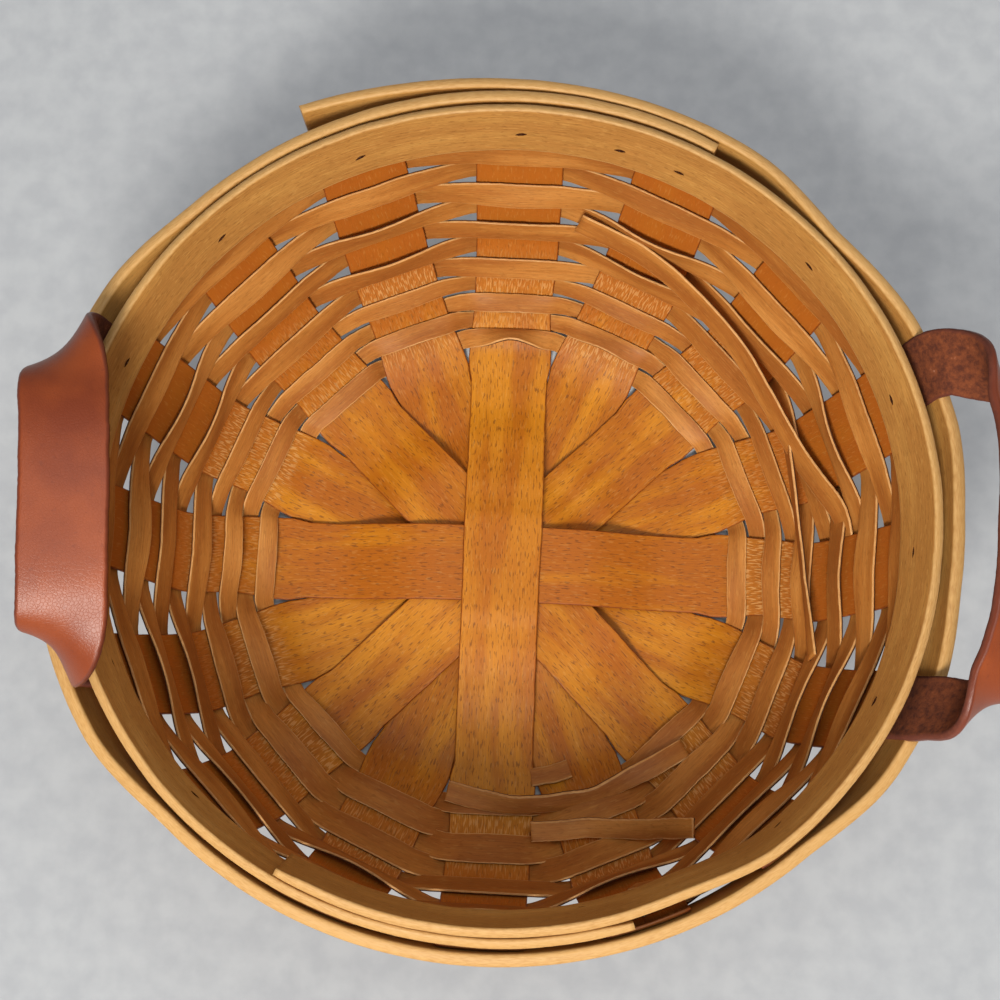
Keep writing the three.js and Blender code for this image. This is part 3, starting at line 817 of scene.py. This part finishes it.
filler_row = low_row_count + high_row_count + 1
for row in range(1, filler_row + 1):
    width = row_widths[row - 1] - row_narrowings.get(row, 0)
    point, up, inward, places, whole = row_path(row, row_arcs[row - 1] + row_shifts.get(row, 0))
    angle, stake, phase = stake_phase(point)
    inside = (stake + row) % 2 == 1
    over_stake = np.where(inside, np.cos(np.pi / 2 * phase) ** roll_power, 0)
    span = np.random.default_rng(700 + row).uniform(-1, 1, (stake_count, 2))[stake]
    sway = row_sway * waves(places, row_sway_length, 720 + row, whole)
    point = point + column(sway) * up
    roll = row_lean(row, angle) * (1 + roll_spread * span[:, 0])
    roll = np.radians(roll + (0 if row >= filler_row - 1 else roll_jitter) * span[:, 1]) * over_stake
    roll = soften(column(roll), path_step, roll_soften_length)[:, 0]
    if row in near_widened_rows:
        width = width * (1 + near_widening * near_share(np.radians(angle)))
    point, up, inward = roll_row(point, up, inward, column(width), roll)
    along = unit(np.roll(point, -1, axis=0) - np.roll(point, 1, axis=0))
    up = square_to(along, up)
    face = towards(inward, np.cross(along, up))
    width = width + row_waver * waves(places, row_waver_length, 740 + row, whole)
    last = row == filler_row
    name = "rim_filler_row" if last else f"weaver_row_{row:02d}"
    piece = strip(name, point, up, face, width, filler_thickness if last else weaver_thickness,
                  across_count=5, closed=True, rag=0.07 * mm, seed=1000 + 20 * row, corner_share=0.5)
    dress(piece, weaver_wood, replaces=[name])
print("rows made, the last one has", len(piece.data.polygons), "faces")

# %% [markdown]
# ## Rim bands
#
# Two bent bands of thicker maple clasp the stake tops, one inside and one outside. Each goes
# round once and laps over its own start, where both ends are shaved thinner so that they lie
# close. The outer one is pushed out where the leather ears are tucked behind it, and the first
# stretch of its start, which lies outermost, has sprung off a little. Each is one long strip
# whose distance from the wall changes along its way.

# %% Rim bands
band_lap_angle = 56
band_ramp_angle = 16
band_end_gap_angle = 2
outer_band_start = -27
inner_band_start = 209
inner_band_height = 12.2 * mm
inner_band_trim = 2.4 * mm
scarf_angle = 5
outer_band_thickness = 2.7 * mm
outer_start_thickness = 2.5 * mm
inner_band_thickness = 2.1 * mm
outer_layer_gap = 0.6 * mm
inner_layer_gap = 0.1 * mm
leather_thickness = 2.2 * mm
tab_width = 14 * mm
swell_full, swell_fade = 7, 17
swell_between_feet, between_full, between_fade = 0.4, 5, 14
lay_gap = 0.2 * mm
pinch_gap = 0.05 * mm
weave_face = splint_thickness / 2 + lay_gap + weaver_thickness
travel_end = 360 + band_lap_angle - band_end_gap_angle
inner_end_cut, outer_end_cut = 4.5, 1.5
end_spring = 4.8 * mm
end_spring_angle = 45
band_steps = 620
band_waver, band_waver_angle = 0.06 * mm, 24
band_sway, band_sway_angle = 0.18 * mm, 60


def lap_layer(travel):
    """1 on the first stretch of a band, which lies outside its other end, then 0."""
    return 1 - smooth((travel - band_lap_angle) / band_ramp_angle)


def ear_swell(angle):
    """1 at the four feet of the ears, less between the feet of an ear, and 0 away from them."""
    from_ear = np.abs(angle % 180 - 90)
    from_foot = np.abs(from_ear - stake_pitch)
    near_foot = 1 - smooth((from_foot - between_full) / between_fade)
    between = swell_between_feet + (1 - swell_between_feet) * near_foot
    return np.where(from_ear < stake_pitch, between, 1 - smooth((from_foot - swell_full) / swell_fade))


def outer_band_back(angle, layer):
    """Lift of the outer band's back at its low edge and at the rim. Low down it lies on the
    weavers, at the rim on the stake tops, and at the ears on the leather tabs."""
    radius = float(wall_at(band_mid_arc)[0])
    weave = weave_face + lay_gap + np.hypot(radius, splint_width / 2 + edge_clearance) - radius
    leather = (splint_thickness / 2 + 2 * lay_gap + leather_thickness
               + np.hypot(radius, tab_width / 2) - radius)
    pinched = splint_thickness / 2 + pinch_gap
    outward = layer * (outer_band_thickness + outer_layer_gap)
    low, rim = (back + ear_swell(angle) * (leather - back) for back in (weave, pinched))
    return -(low + outward), -(rim + outward)


def inner_band_back(angle, layer):
    """The same for the inner band: on the weavers low down, on the stake tops at the rim."""
    inward = layer * (inner_band_thickness + inner_layer_gap)
    return weave_face + lay_gap + inward, splint_thickness / 2 + pinch_gap + inward + 0 * angle


def band_piece(name, start, direction, end, back_at, side, thickness_at, height, tip_share,
               seed, spring=0, trim=0):
    """A strip round the wall just below the rim, thinned to a tip at both ends. Its centre
    is half its thickness off the middle of its back, and it leans from low edge to rim. Its
    start stands off by the spring, which dies away as a cube. At the near side it is lower
    by the trim."""
    travel = np.linspace(0, end, band_steps)
    angle = start + direction * travel
    from_end = np.minimum(travel, end - travel)
    thickness = thickness_at(travel) * (tip_share + (1 - tip_share) * smooth(from_end / scarf_angle))
    height = height - trim * near_share(np.radians(angle))
    low, rim = back_at(angle, lap_layer(travel))
    lift = (low + rim) / 2 + side * thickness / 2 + band_waver * waves(travel, band_waver_angle, seed)
    lift = lift + side * spring * np.maximum(1 - travel / end_spring_angle, 0) ** 3
    arc = rim_arc - height / 2 + band_sway * waves(travel, band_sway_angle, seed + 1)
    point, up, inward, _ = wall_frame(angle, arc, lift)
    lean = column((rim - low) / height)
    return strip(name, point, unit(up + lean * inward), unit(inward - lean * up), height, thickness,
                 across_count=9, rag=0.05 * mm, seed=seed, corner_share=0.55)


def outer_thickness(travel):
    """Thinner on its first stretch, where it was shaved for the lap."""
    return outer_band_thickness + lap_layer(travel) * (outer_start_thickness - outer_band_thickness)


def inner_thickness(travel):
    """The same all the way, one value for each step."""
    return inner_band_thickness + 0 * travel


print("outer band's thickness in mm:", (outer_thickness(np.array([0, 180])) / mm).round(1).tolist())

# %% Both bands
outer_band = band_piece("outer_rim_band", outer_band_start, 1, travel_end - outer_end_cut,
                        outer_band_back, -1, outer_thickness, band_height, tip_share=0.9,
                        seed=40, spring=end_spring)
dress(outer_band, band_wood, replaces=["outer_rim_band"])
inner_band = band_piece("inner_rim_band", inner_band_start, -1, travel_end - inner_end_cut,
                        inner_band_back, 1, inner_thickness, inner_band_height, tip_share=0.8,
                        seed=60, trim=inner_band_trim)
dress(inner_band, band_wood, replaces=["inner_rim_band"])
print("bands made,", len(inner_band.data.polygons), "faces each")

# %% [markdown]
# ## Loose weaver ends
#
# A weaver that ran out was followed by a new one, and its end was left standing inside the
# basket. Each loose end is a short strip on a smooth curve through a few places on the wall.
# A place is an angle, how many millimetres up the wall it lies, how many it stands off, and
# how many degrees the strip is rolled there.

# %% Loose weaver ends
wall_rest_lift = weave_face + lay_gap + weaver_thickness / 2
base_rest_lift = splint_thickness / 2 + lay_gap + weaver_thickness / 2
stub_share = 0.7
loose_steps = 90
loose_routes = {
    "loose_weaver_long": ([
        [10, 50, 0, 0], [24, 46.9, 1.2, 0], [42, 43, 3, 0], [55, 40.8, 3.6, 0], [66, 39.8, 2, 0],
        [73.5, 42.7, 0.6, 0], [79, 45.6, -1.2, 0], [84, 45, -2.9, 0]], high_weaver_width),
    "loose_weaver_thin": ([
        [60, 38, 0.6, -10], [67.3, 36.7, 2.2, -24], [78.4, 34.7, 2.5, -27], [90.8, 36.7, 2.5, -27],
        [104.9, 41.8, 1.2, -15]], low_weaver_width),
    "loose_weaver_near": ([
        [171.2, 18.2, 2, 45], [164.2, 19.4, 2.2, 50], [157.1, 21.6, 2.2, 52], [147.8, 29.3, 2, 56],
        [141.9, 39.7, 1.6, 50]], low_weaver_width),
    "weaver_row_01_lap": ([
        [133, 16, 0.3, 15], [149.8, 13.5, 1.4, 58], [157.9, 13.2, 1.5, 64], [172.2, 11.8, 1.5, 60],
        [182.7, 10.3, 1.2, 45], [191, 9.3, 0.8, 30]], low_weaver_width),
    "weaver_stub_near": ([
        [156, 48.6, 0, 0], [153.2, 53.6, 0.5, 0], [147.6, 61.5, 0.1, 0]],
        stub_share * low_weaver_width),
}
base_tip_route = [[169.8, 4.2, 0, 0], [164.5, 4.4, 0.1, 0], [159.4, 4.2, 0, 0]]


def curve_through(stops, count):
    """Catmull-Rom curve: each stretch is a cubic that leaves along its neighbours' chord."""
    stops = np.concatenate([[2 * stops[0] - stops[1]], stops, [2 * stops[-1] - stops[-2]]])
    place = np.linspace(0, len(stops) - 3, count)
    index = np.minimum(place.astype(int), len(stops) - 4)
    share = (place - index)[:, None]
    a, b, c, d = (stops[index + k] for k in range(4))
    return 0.5 * (2 * b + (c - a) * share + (2 * a - 5 * b + 4 * c - d) * share ** 2
                  + (3 * b - 3 * c + d - a) * share ** 3)


def loose_piece(name, route, width, rest_lift, seed):
    """A strip along the curve. Its width starts square to the curve and to the wall's normal,
    and the last number of each stop then rolls its lower edge into the basket, in degrees."""
    angle, arc, stand_off, roll = np.array(route, float).T
    stops = wall_frame(angle, arc * mm, rest_lift + stand_off * mm)[0]
    centre = curve_through(stops, loose_steps)
    share = np.linspace(0, 1, loose_steps)
    stops_at = np.linspace(0, 1, len(angle))
    angle, arc, roll = (np.interp(share, stops_at, a) for a in (angle, arc * mm, roll))
    _, up, inward, _ = wall_frame(angle, arc)
    along = unit(np.gradient(centre, axis=0))
    width_axis = towards(up, unit(np.cross(inward, along)))
    face_axis = towards(inward, np.cross(along, width_axis))
    turn = column(np.radians(roll))
    return strip(name, centre, np.cos(turn) * width_axis - np.sin(turn) * face_axis,
                 np.cos(turn) * face_axis + np.sin(turn) * width_axis, width, weaver_thickness,
                 across_count=5, rag=0.1 * mm, seed=seed)


for number, (name, (route, width)) in enumerate(loose_routes.items()):
    piece = loose_piece(name, route, width, wall_rest_lift, 2000 + 10 * number)
    dress(piece, weaver_wood, replaces=[name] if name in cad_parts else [])
piece = loose_piece("weaver_tip_base", base_tip_route, low_weaver_width, base_rest_lift, 2090)
dress(piece, weaver_wood, replaces=["weaver_tip_base"])
print("loose ends:", len(loose_routes) + 1)

# %% [markdown]
# ## Ears
#
# Each ear is one strap of thick vegetable-tanned leather. Both ends are tucked down between a
# stake and the outer band, and the strap arches between them, turning as it rises so that its
# smooth side faces out all the way. Over the years one ear has stayed upright and the other
# has folded outwards. The strap is one surface from tab to tab.

# %% Ear paths
ear_inward_lean = -15
tab_depth, tab_mouth_depth = 12.5 * mm, 0.8 * mm
tab_stand_out = 0.5 * mm
tab_lift = -(splint_thickness / 2 + lay_gap + leather_thickness / 2)
tab_turn = np.radians(90 - stake_pitch)
arch_steps = 161
tab_steps = 14
strap_steps = 190
strap_window = 13
strap_waver, strap_waver_length = 0.25 * mm, 40 * mm
ears = {
    "left": {"facing": -1, "lean": -2.4, "height": 21.2 * mm, "width": 17.2 * mm,
             "power": 2.7, "turn": -1.3, "near_tilt": 8, "near_shift": 5.4 * mm,
             "bow": 1.7 * mm, "skew": 3.2 * mm, "spread": 0.955, "twist_share": 0.29,
             "seed": 2990},
    "right": {"facing": 1, "lean": 47, "height": 18.9 * mm, "width": 18 * mm,
              "power": 2.8, "turn": 1.7, "near_tilt": 14, "near_shift": 4.2 * mm,
              "bow": -0.2 * mm, "skew": 4.2 * mm, "spread": 1.06, "twist_share": 0.26,
              "seed": 3010},
}


def turn_lean(vectors, lean):
    """Turns vectors about the Y axis, from up towards the outside, by lean degrees."""
    sine, cosine = np.sin(np.radians(lean)), np.cos(np.radians(lean))
    x, y, z = np.moveaxis(vectors, -1, 0)
    return np.stack([cosine * x + sine * z, y, cosine * z - sine * x], axis=-1)


def ear_hinge():
    """The line that an ear flexes on, through the outermost corners of its tabs' ends."""
    turn = np.radians(stake_pitch)
    point, up, inward, _ = wall_frame(90 - stake_pitch, band_mid_arc, tab_lift)
    mouth = make_oval(point + (rim_arc + tab_stand_out - band_mid_arc) * up)
    outward = tab_width / 2 * np.sin(turn) - leather_thickness / 2 * inward[0]
    hinge = np.array([mouth[0] + outward, 0, mouth[2] - leather_thickness / 2 * inward[2]])
    return hinge, mouth - hinge, up


hinge, mouth, tab_up = ear_hinge()
print("right ear flexes at", [round(v / mm, 1) for v in hinge])


def ear_strap(name, ear):
    """Arch point = mouth + up * height * sin^(2/p), with y = cos^(2/p) between the tabs. The
    bow and the skew pull its middle and its near end inwards. The section turns from
    square-on at the tabs to flat over the top. Tabs run straight down."""
    lean, facing = ear["lean"], ear["facing"]
    share = np.linspace(0, 1, arch_steps)
    to_near = share if facing > 0 else 1 - share
    turn = np.pi * share
    rise = np.abs(np.sin(turn)) ** (2 / ear["power"])
    aside = np.sign(np.cos(turn)) * np.abs(np.cos(turn)) ** (2 / ear["power"])
    aside = mouth[1] * aside - facing * ear["near_shift"] * rise
    pulled = (ear["bow"] * np.sin(turn) ** 2 + ear["skew"] * (2 * to_near - 1)) * rise
    arch = np.stack([-pulled, aside, ear["height"] * rise], axis=1)
    root = turn_lean(np.array([mouth[0], 0, mouth[2]]), lean - ear_inward_lean)
    arch = turn_lean(arch, lean) + root
    along = unit(np.gradient(arch, axis=0))
    out_axis, up_axis = (turn_lean(np.array(a), lean) for a in ([1.0, 0, 0], [0, 0, 1.0]))
    along[0], along[-1] = up_axis, -up_axis
    from_end = np.minimum(share, 1 - share)
    flat_on_top = smooth(from_end / ear["twist_share"])
    twist = (90 - stake_pitch) * (1 - flat_on_top) - ear["near_tilt"] * smooth(to_near) * flat_on_top
    twist = column(np.radians(twist))
    width_axis = unit(np.cos(twist) * out_axis + np.sin(twist) * np.cross(out_axis, along))
    width = tab_width + (ear["width"] - tab_width) * flat_on_top
    mirror = np.array([1, -1, 1])
    tab_line = mouth - column(np.linspace(tab_depth, tab_mouth_depth, tab_steps)) * tab_up
    tab_tangent = np.array([np.cos(tab_turn), -np.sin(tab_turn), 0])
    centres = np.concatenate([tab_line, arch, tab_line[::-1] * mirror])
    first_axis = towards(width_axis[0], np.broadcast_to(tab_tangent, tab_line.shape))
    last_axis = towards(width_axis[-1], first_axis * mirror)
    axes = np.concatenate([first_axis, width_axis, last_axis])
    widths = np.concatenate([np.full(tab_steps, tab_width), width, np.full(tab_steps, tab_width)])
    return finish_strap(name, centres * np.array([1, ear["spread"], 1]), axes, widths, ear)


def finish_strap(name, centres, axes, widths, ear):
    """Evens out and softens the joined path, squares the width to it, turns the left strap
    half round the basket's axis, and sets both straps over to their places on the rim."""
    length = length_along(centres)
    places = np.linspace(0, length[-1], strap_steps)

    def even(values):
        spread = np.interp(places, length, values)
        return window_average(spread, strap_window, "reflect", reflect_type="odd")

    centres, axes = [np.stack([even(a[:, k]) for k in range(3)], axis=1) for a in (centres, axes)]
    widths = even(widths) + strap_waver * waves(places, strap_waver_length, ear["seed"])
    along = unit(np.gradient(centres, axis=0))
    axes = square_to(along, axes)
    face = np.cross(along, axes)
    middle = len(centres) // 2
    face = face * np.sign((face[middle] * (centres[middle] - mouth)).sum())
    around = np.array([ear["facing"], ear["facing"], 1])
    base = np.array([hinge[0], 0, hinge[2]])
    return strip(name, (centres + base) * around, axes * around, face * around, widths,
                 leather_thickness, across_count=15, rag=0.08 * mm, seed=ear["seed"],
                 corner_share=0.7, settle=lambda points: spin(points, ear["turn"]))


print("strap paths are ready")

# %% [markdown]
# ## Leather
#
# The straps are vegetable-tanned cowhide, cut with a knife and finished with an oily red-brown
# dye. The grain side is smooth with a soft sheen and tiny creases, the flesh side is darker,
# dull and fuzzy, and the cut edges are dark. The face mark of each strip tells the two sides
# apart.

# %% Leather material
cloud_size, fuzz_size, speck_size, crease_size = 14 * mm, 1.6 * mm, 1.3 * mm, 0.7 * mm


def leather_material():
    """Oiled cowhide: a smooth grain side, a rough dark flesh side, and dark cut edges."""
    material, node, surface = new_material("vegetable_tanned_leather")
    here = (node("TexCoord"), "Object")
    face, edge = marks_of(node, "face", "edge")
    clouds, fuzz, specks = (
        node("TexNoise", Vector=here, Scale=1 / size, Detail=detail, Roughness=rough)
        for size, detail, rough in ((cloud_size, 4.0, 0.5), (fuzz_size, 5.0, 0.7), (speck_size, 2.0, 0.5)))
    creases = node("TexVoronoi", Vector=here, Scale=1 / crease_size, feature="DISTANCE_TO_EDGE")
    smooth_side = layered(node, "#783214", (node("MapRange", clouds, 0.3, 0.7), "#96461C"),
                          (node("MapRange", specks, 0.66, 0.74, 0.0, 0.3), "#6A2C18"))
    smooth_side = node("Mix", 1.0, smooth_side, node("MapRange", creases, 0.0, 0.12, 0.95, 1.0),
                       blend_type="MULTIPLY", **in_colour)
    rough_side = layered(node, "#4C1F0C", (node("MapRange", fuzz, 0.35, 0.65), "#7C3E1B"),
                         (node("MapRange", fuzz, 0.66, 0.74, 0.0, 0.6), "#A8745C"))
    grain_side = node("MapRange", face, 0.3, 0.7)
    base = node("Mix", grain_side, rough_side, smooth_side, **in_colour)
    base = layered(node, base, (node("MapRange", edge, 0.6, 1.0, 0.0, 0.7), "#5E2A1C"))
    fuzz_height = node("MapRange", fuzz, 0.2, 0.8, 0.0, 1.0)
    crease_height = node("MapRange", creases, 0.0, 0.15, 0.0, 0.12)
    relief = node("Mix", grain_side, fuzz_height, crease_height, data_type="FLOAT")
    bump = node("Bump", Height=relief, Strength=0.5, Distance=0.25 * mm)
    sheen = node("MapRange", face, 0.3, 0.7, 0.9, 0.42)
    finish_surface(surface, base, sheen, specular=0.45, Normal=bump)
    return material


leather = leather_material()
print("leather:", leather.name)

# %% [markdown]
# ## The ears on the rim
#
# The imported model flexes each ear on a hinge, but leather has none. Here each strap is one
# piece from tab to tab that follows no body, with its place baked into its points.

# %% Ears
for name, ear in ears.items():
    piece = ear_strap(f"{name}_ear_strap", ear)
    dress(piece, leather, body=None, replaces=[
        f"{name}_ear_strap", f"{name}_ear_far_tab", f"{name}_ear_near_tab"])
    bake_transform(piece)
print("ears made")

# %% [markdown]
# ## Tacks
#
# Small cut tacks go through the outer band, a stake and the inner band. Outside, a low domed
# head shows. Inside, only the point comes through, in a short slit that it split in the grain,
# dark with shade. Each tack is a turned profile round its own axis, and the slit is a flat lens
# painted with that shade.

# %% Tack materials
def steel_material():
    """Blued steel tack, dulled by handling: dark, a little rough, with brown spots."""
    material, node, surface = new_material("blued_steel_tack")
    spots = node("TexNoise", Vector=(node("TexCoord"), "Object"), Scale=1 / (0.8 * mm), Detail=3.0)
    base = layered(node, "#5B4A3E", (node("MapRange", spots, 0.4, 0.65), "#8A7A6A"))
    sheen = node("MapRange", spots, 0.3, 0.7, 0.35, 0.6)
    finish_surface(surface, base, sheen, ior=None, Metallic=1.0)
    return material


def slit_shade_material():
    """Painted shade for the inside of split grain, with a trace of its torn fibres."""
    material, node, surface = new_material("painted_split_shade")
    base = layered(node, "#1E0C06", (grain(node, 0.8, 0.15), "#4A2410"))
    finish_surface(surface, base, 0.9, specular=0.1)
    return material


steel, slit_shade = steel_material(), slit_shade_material()
print("tack materials:", steel.name, slit_shade.name)

# %% Tacks and slits
tack_head_radius, tack_head_height = 1.7 * mm, 0.45 * mm
tack_pole_radius = 0.02 * mm
tack_head_depth, tack_neck_depth = 0.12 * mm, 0.15 * mm
tack_shank_radius, tack_tip_radius = 0.5 * mm, 0.08 * mm
tack_point_length, tack_point_out = 2 * mm, 0.25 * mm
lap_tack_angles = [13.8, 166]
dome_steps, tack_sides = 6, 20
slit_half_length, slit_half_width = 1.15 * mm, 0.4 * mm
slit_tip_half_width = 0.02 * mm
slit_proud = 0.24 * mm
slit_steps, slit_sides = 13, 12
slit_slant = 0.25


def inner_face_lift(angle):
    """How far the inner band's face lies from the middle of the stakes."""
    layer = lap_layer((inner_band_start - angle) % 360)
    return np.mean(inner_band_back(angle, layer)) + inner_band_thickness


def round_places(count):
    """Angles in even steps, once round."""
    return np.linspace(0, 2 * np.pi, count, endpoint=False)


def tack_piece(name, angle):
    """Profile of radius against place along the axis, turned round: domed head, shank, point."""
    layer = lap_layer((angle - outer_band_start) % 360)
    thickness = outer_start_thickness if layer > 0.5 else outer_band_thickness
    outside = np.mean(outer_band_back(angle, layer)) - thickness
    inside = inner_face_lift(angle) + tack_point_out
    head, up, _, tangent = wall_frame(angle, band_mid_arc, outside)
    tip = wall_frame(angle, band_mid_arc, inside)[0]
    head, tip = (pull_near(make_oval(p)) for p in (head, tip))
    whole = np.linalg.norm(tip - head)
    dome = np.radians(np.linspace(90, 0, dome_steps))
    radius = np.concatenate([np.maximum(tack_head_radius * np.cos(dome), tack_pole_radius), [
        tack_head_radius, tack_shank_radius, tack_shank_radius, tack_tip_radius]])
    depth = np.concatenate([-tack_head_height * np.sin(dome), [
        tack_head_depth, tack_neck_depth, whole - tack_point_length, whole]])
    turn = round_places(tack_sides)
    grid = head + depth[:, None, None] * unit(tip - head)
    grid = grid + (column(radius) * np.cos(turn))[..., None] * tangent
    grid = grid + (column(radius) * np.sin(turn))[..., None] * up
    return mesh_piece(name, grid, depth, tack_head_radius * turn, False, {"edge": 0.0})


def slit_piece(name, angle, slant):
    """A thin lens of painted shade on the inner band's face, its half width falling as 1 - t^2 to the
    tips.
    """
    point, up, inward, tangent = wall_frame(angle, band_mid_arc, inner_face_lift(angle))
    along = np.cos(slant) * tangent + np.sin(slant) * up
    share = np.linspace(-1, 1, slit_steps)
    places = slit_half_length * share
    turn = round_places(slit_sides)
    half_width = column(slit_half_width * (1 - share ** 2) + slit_tip_half_width)
    grid = point + places[:, None, None] * along
    grid = grid + (half_width * np.cos(turn))[..., None] * np.cross(inward, along)
    grid = pull_near(make_oval(grid + slit_proud * np.sin(turn)[:, None] * inward))
    return mesh_piece(name, grid, places, slit_half_width * turn, False, {"edge": 0.0})


tack_angles = [*(stake * stake_pitch for stake in range(stake_count)), *lap_tack_angles]
for number, angle in enumerate(tack_angles, 1):
    name = f"rim_tack_{number:02d}"
    dress(tack_piece(name, angle), steel, replaces=[name])
slants = np.random.default_rng(77).uniform(-slit_slant, slit_slant, len(tack_angles))
for number, (angle, slant) in enumerate(zip(tack_angles, slants), 1):
    # Each slit is a dark lens of painted shade for the shadowed split in the grain.
    dress(slit_piece(f"tack_slit_{number:02d}", angle, slant), slit_shade)
print("tacks and slits made:", len(tack_angles))

# %% [markdown]
# ## Floor and light
#
# The basket stands on a plain pale grey floor. The light is one broad soft source above
# the near side, which is why the far wall glows and the near wall stays dark, with a weak
# even light from everywhere else.

# %% Floor
mottle_size = 6 * mm
own_light_share = 0.35
own_light_from, own_light_full = 58 * mm, 76 * mm


def floor_material():
    """Matt pale grey card, plain, with only a faint mottling. Part of what the camera sees of
    it is its own colour, so that it reads pale through the wall too, but not under the base."""
    material, node, surface = new_material("pale_grey_card")
    here = (node("TexCoord"), "Object")
    mottle = node("TexNoise", Vector=here, Scale=1 / mottle_size, Detail=4.0)
    base = layered(node, "#AEB1B5", (node("MapRange", mottle, 0.35, 0.65), "#B7BABD"))
    finish_surface(surface, base, 0.9, specular=0.2)
    own_colour = node("Emission", Color=base, Strength=1.0)
    distance = (node("VectorMath", here, operation="LENGTH"), "Value")
    lit = node("MapRange", distance, own_light_from, own_light_full, 0.0, own_light_share)
    seen = node("Math", (node("LightPath"), "Is Camera Ray"), lit, **times)
    both = node("MixShader", seen, surface, own_colour)
    output = next(n for n in material.node_tree.nodes if n.type == "OUTPUT_MATERIAL")
    fill(output.inputs["Surface"], both)
    return material


floor_half = 1.5
floor_drop = 0.05 * mm
floor_corners = [(x * floor_half, y * floor_half, 0) for x, y in ((-1, -1), (1, -1), (1, 1), (-1, 1))]
floor_mesh = bpy.data.meshes.new("floor")
floor_mesh.from_pydata(floor_corners, [], [(0, 1, 2, 3)])
floor_mesh.materials.append(floor_material())
floor = bpy.data.objects.new("floor", floor_mesh)
floor.location.z = -floor_drop
bpy.context.scene.collection.objects.link(floor)
floor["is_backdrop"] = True
print("floor:", 2 * floor_half, "m wide")

# %% Lights
basket_middle = Vector((0, 0, 0.03))


def area_light(name, place, size, power, warmth):
    """A square soft light that faces the basket's middle."""
    data = bpy.data.lights.new(name, "AREA")
    data.size = size
    data.energy = power
    data.color = colour(warmth)[:3]
    light = bpy.data.objects.new(name, data)
    turned = (basket_middle - Vector(place)).to_track_quat("-Z", "Y")
    light.matrix_world = Matrix.Translation(place) @ turned.to_matrix().to_4x4()
    bpy.context.scene.collection.objects.link(light)
    return light


area_light("window", place=(-0.12, -0.75, 1.0), size=0.32, power=18, warmth="#FFFAF2")
area_light("ceiling", place=(0.1, 0.1, 1.3), size=0.9, power=5, warmth="#FFFFFF")
world = bpy.data.worlds.new("room")
bpy.context.scene.world = world
world.use_nodes = True
sky = world.node_tree.nodes["Background"]
fill(sky.inputs["Color"], colour("#E6E8EB"))
fill(sky.inputs["Strength"], 0.25)
bpy.context.scene.view_settings.view_transform = "Standard"
print("lights:", [light.name for light in bpy.data.lights])

# %% [markdown]
# ## Sizes and finish
#
# The dressed basket must keep the size of the solids, so both boxes are written side by side.

# %% Sizes and finish
visual_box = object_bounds()
for label, box in (("solids", cad_box), ("dressed", visual_box)):
    print(label, [[round(v / mm, 1) for v in corner] for corner in box])
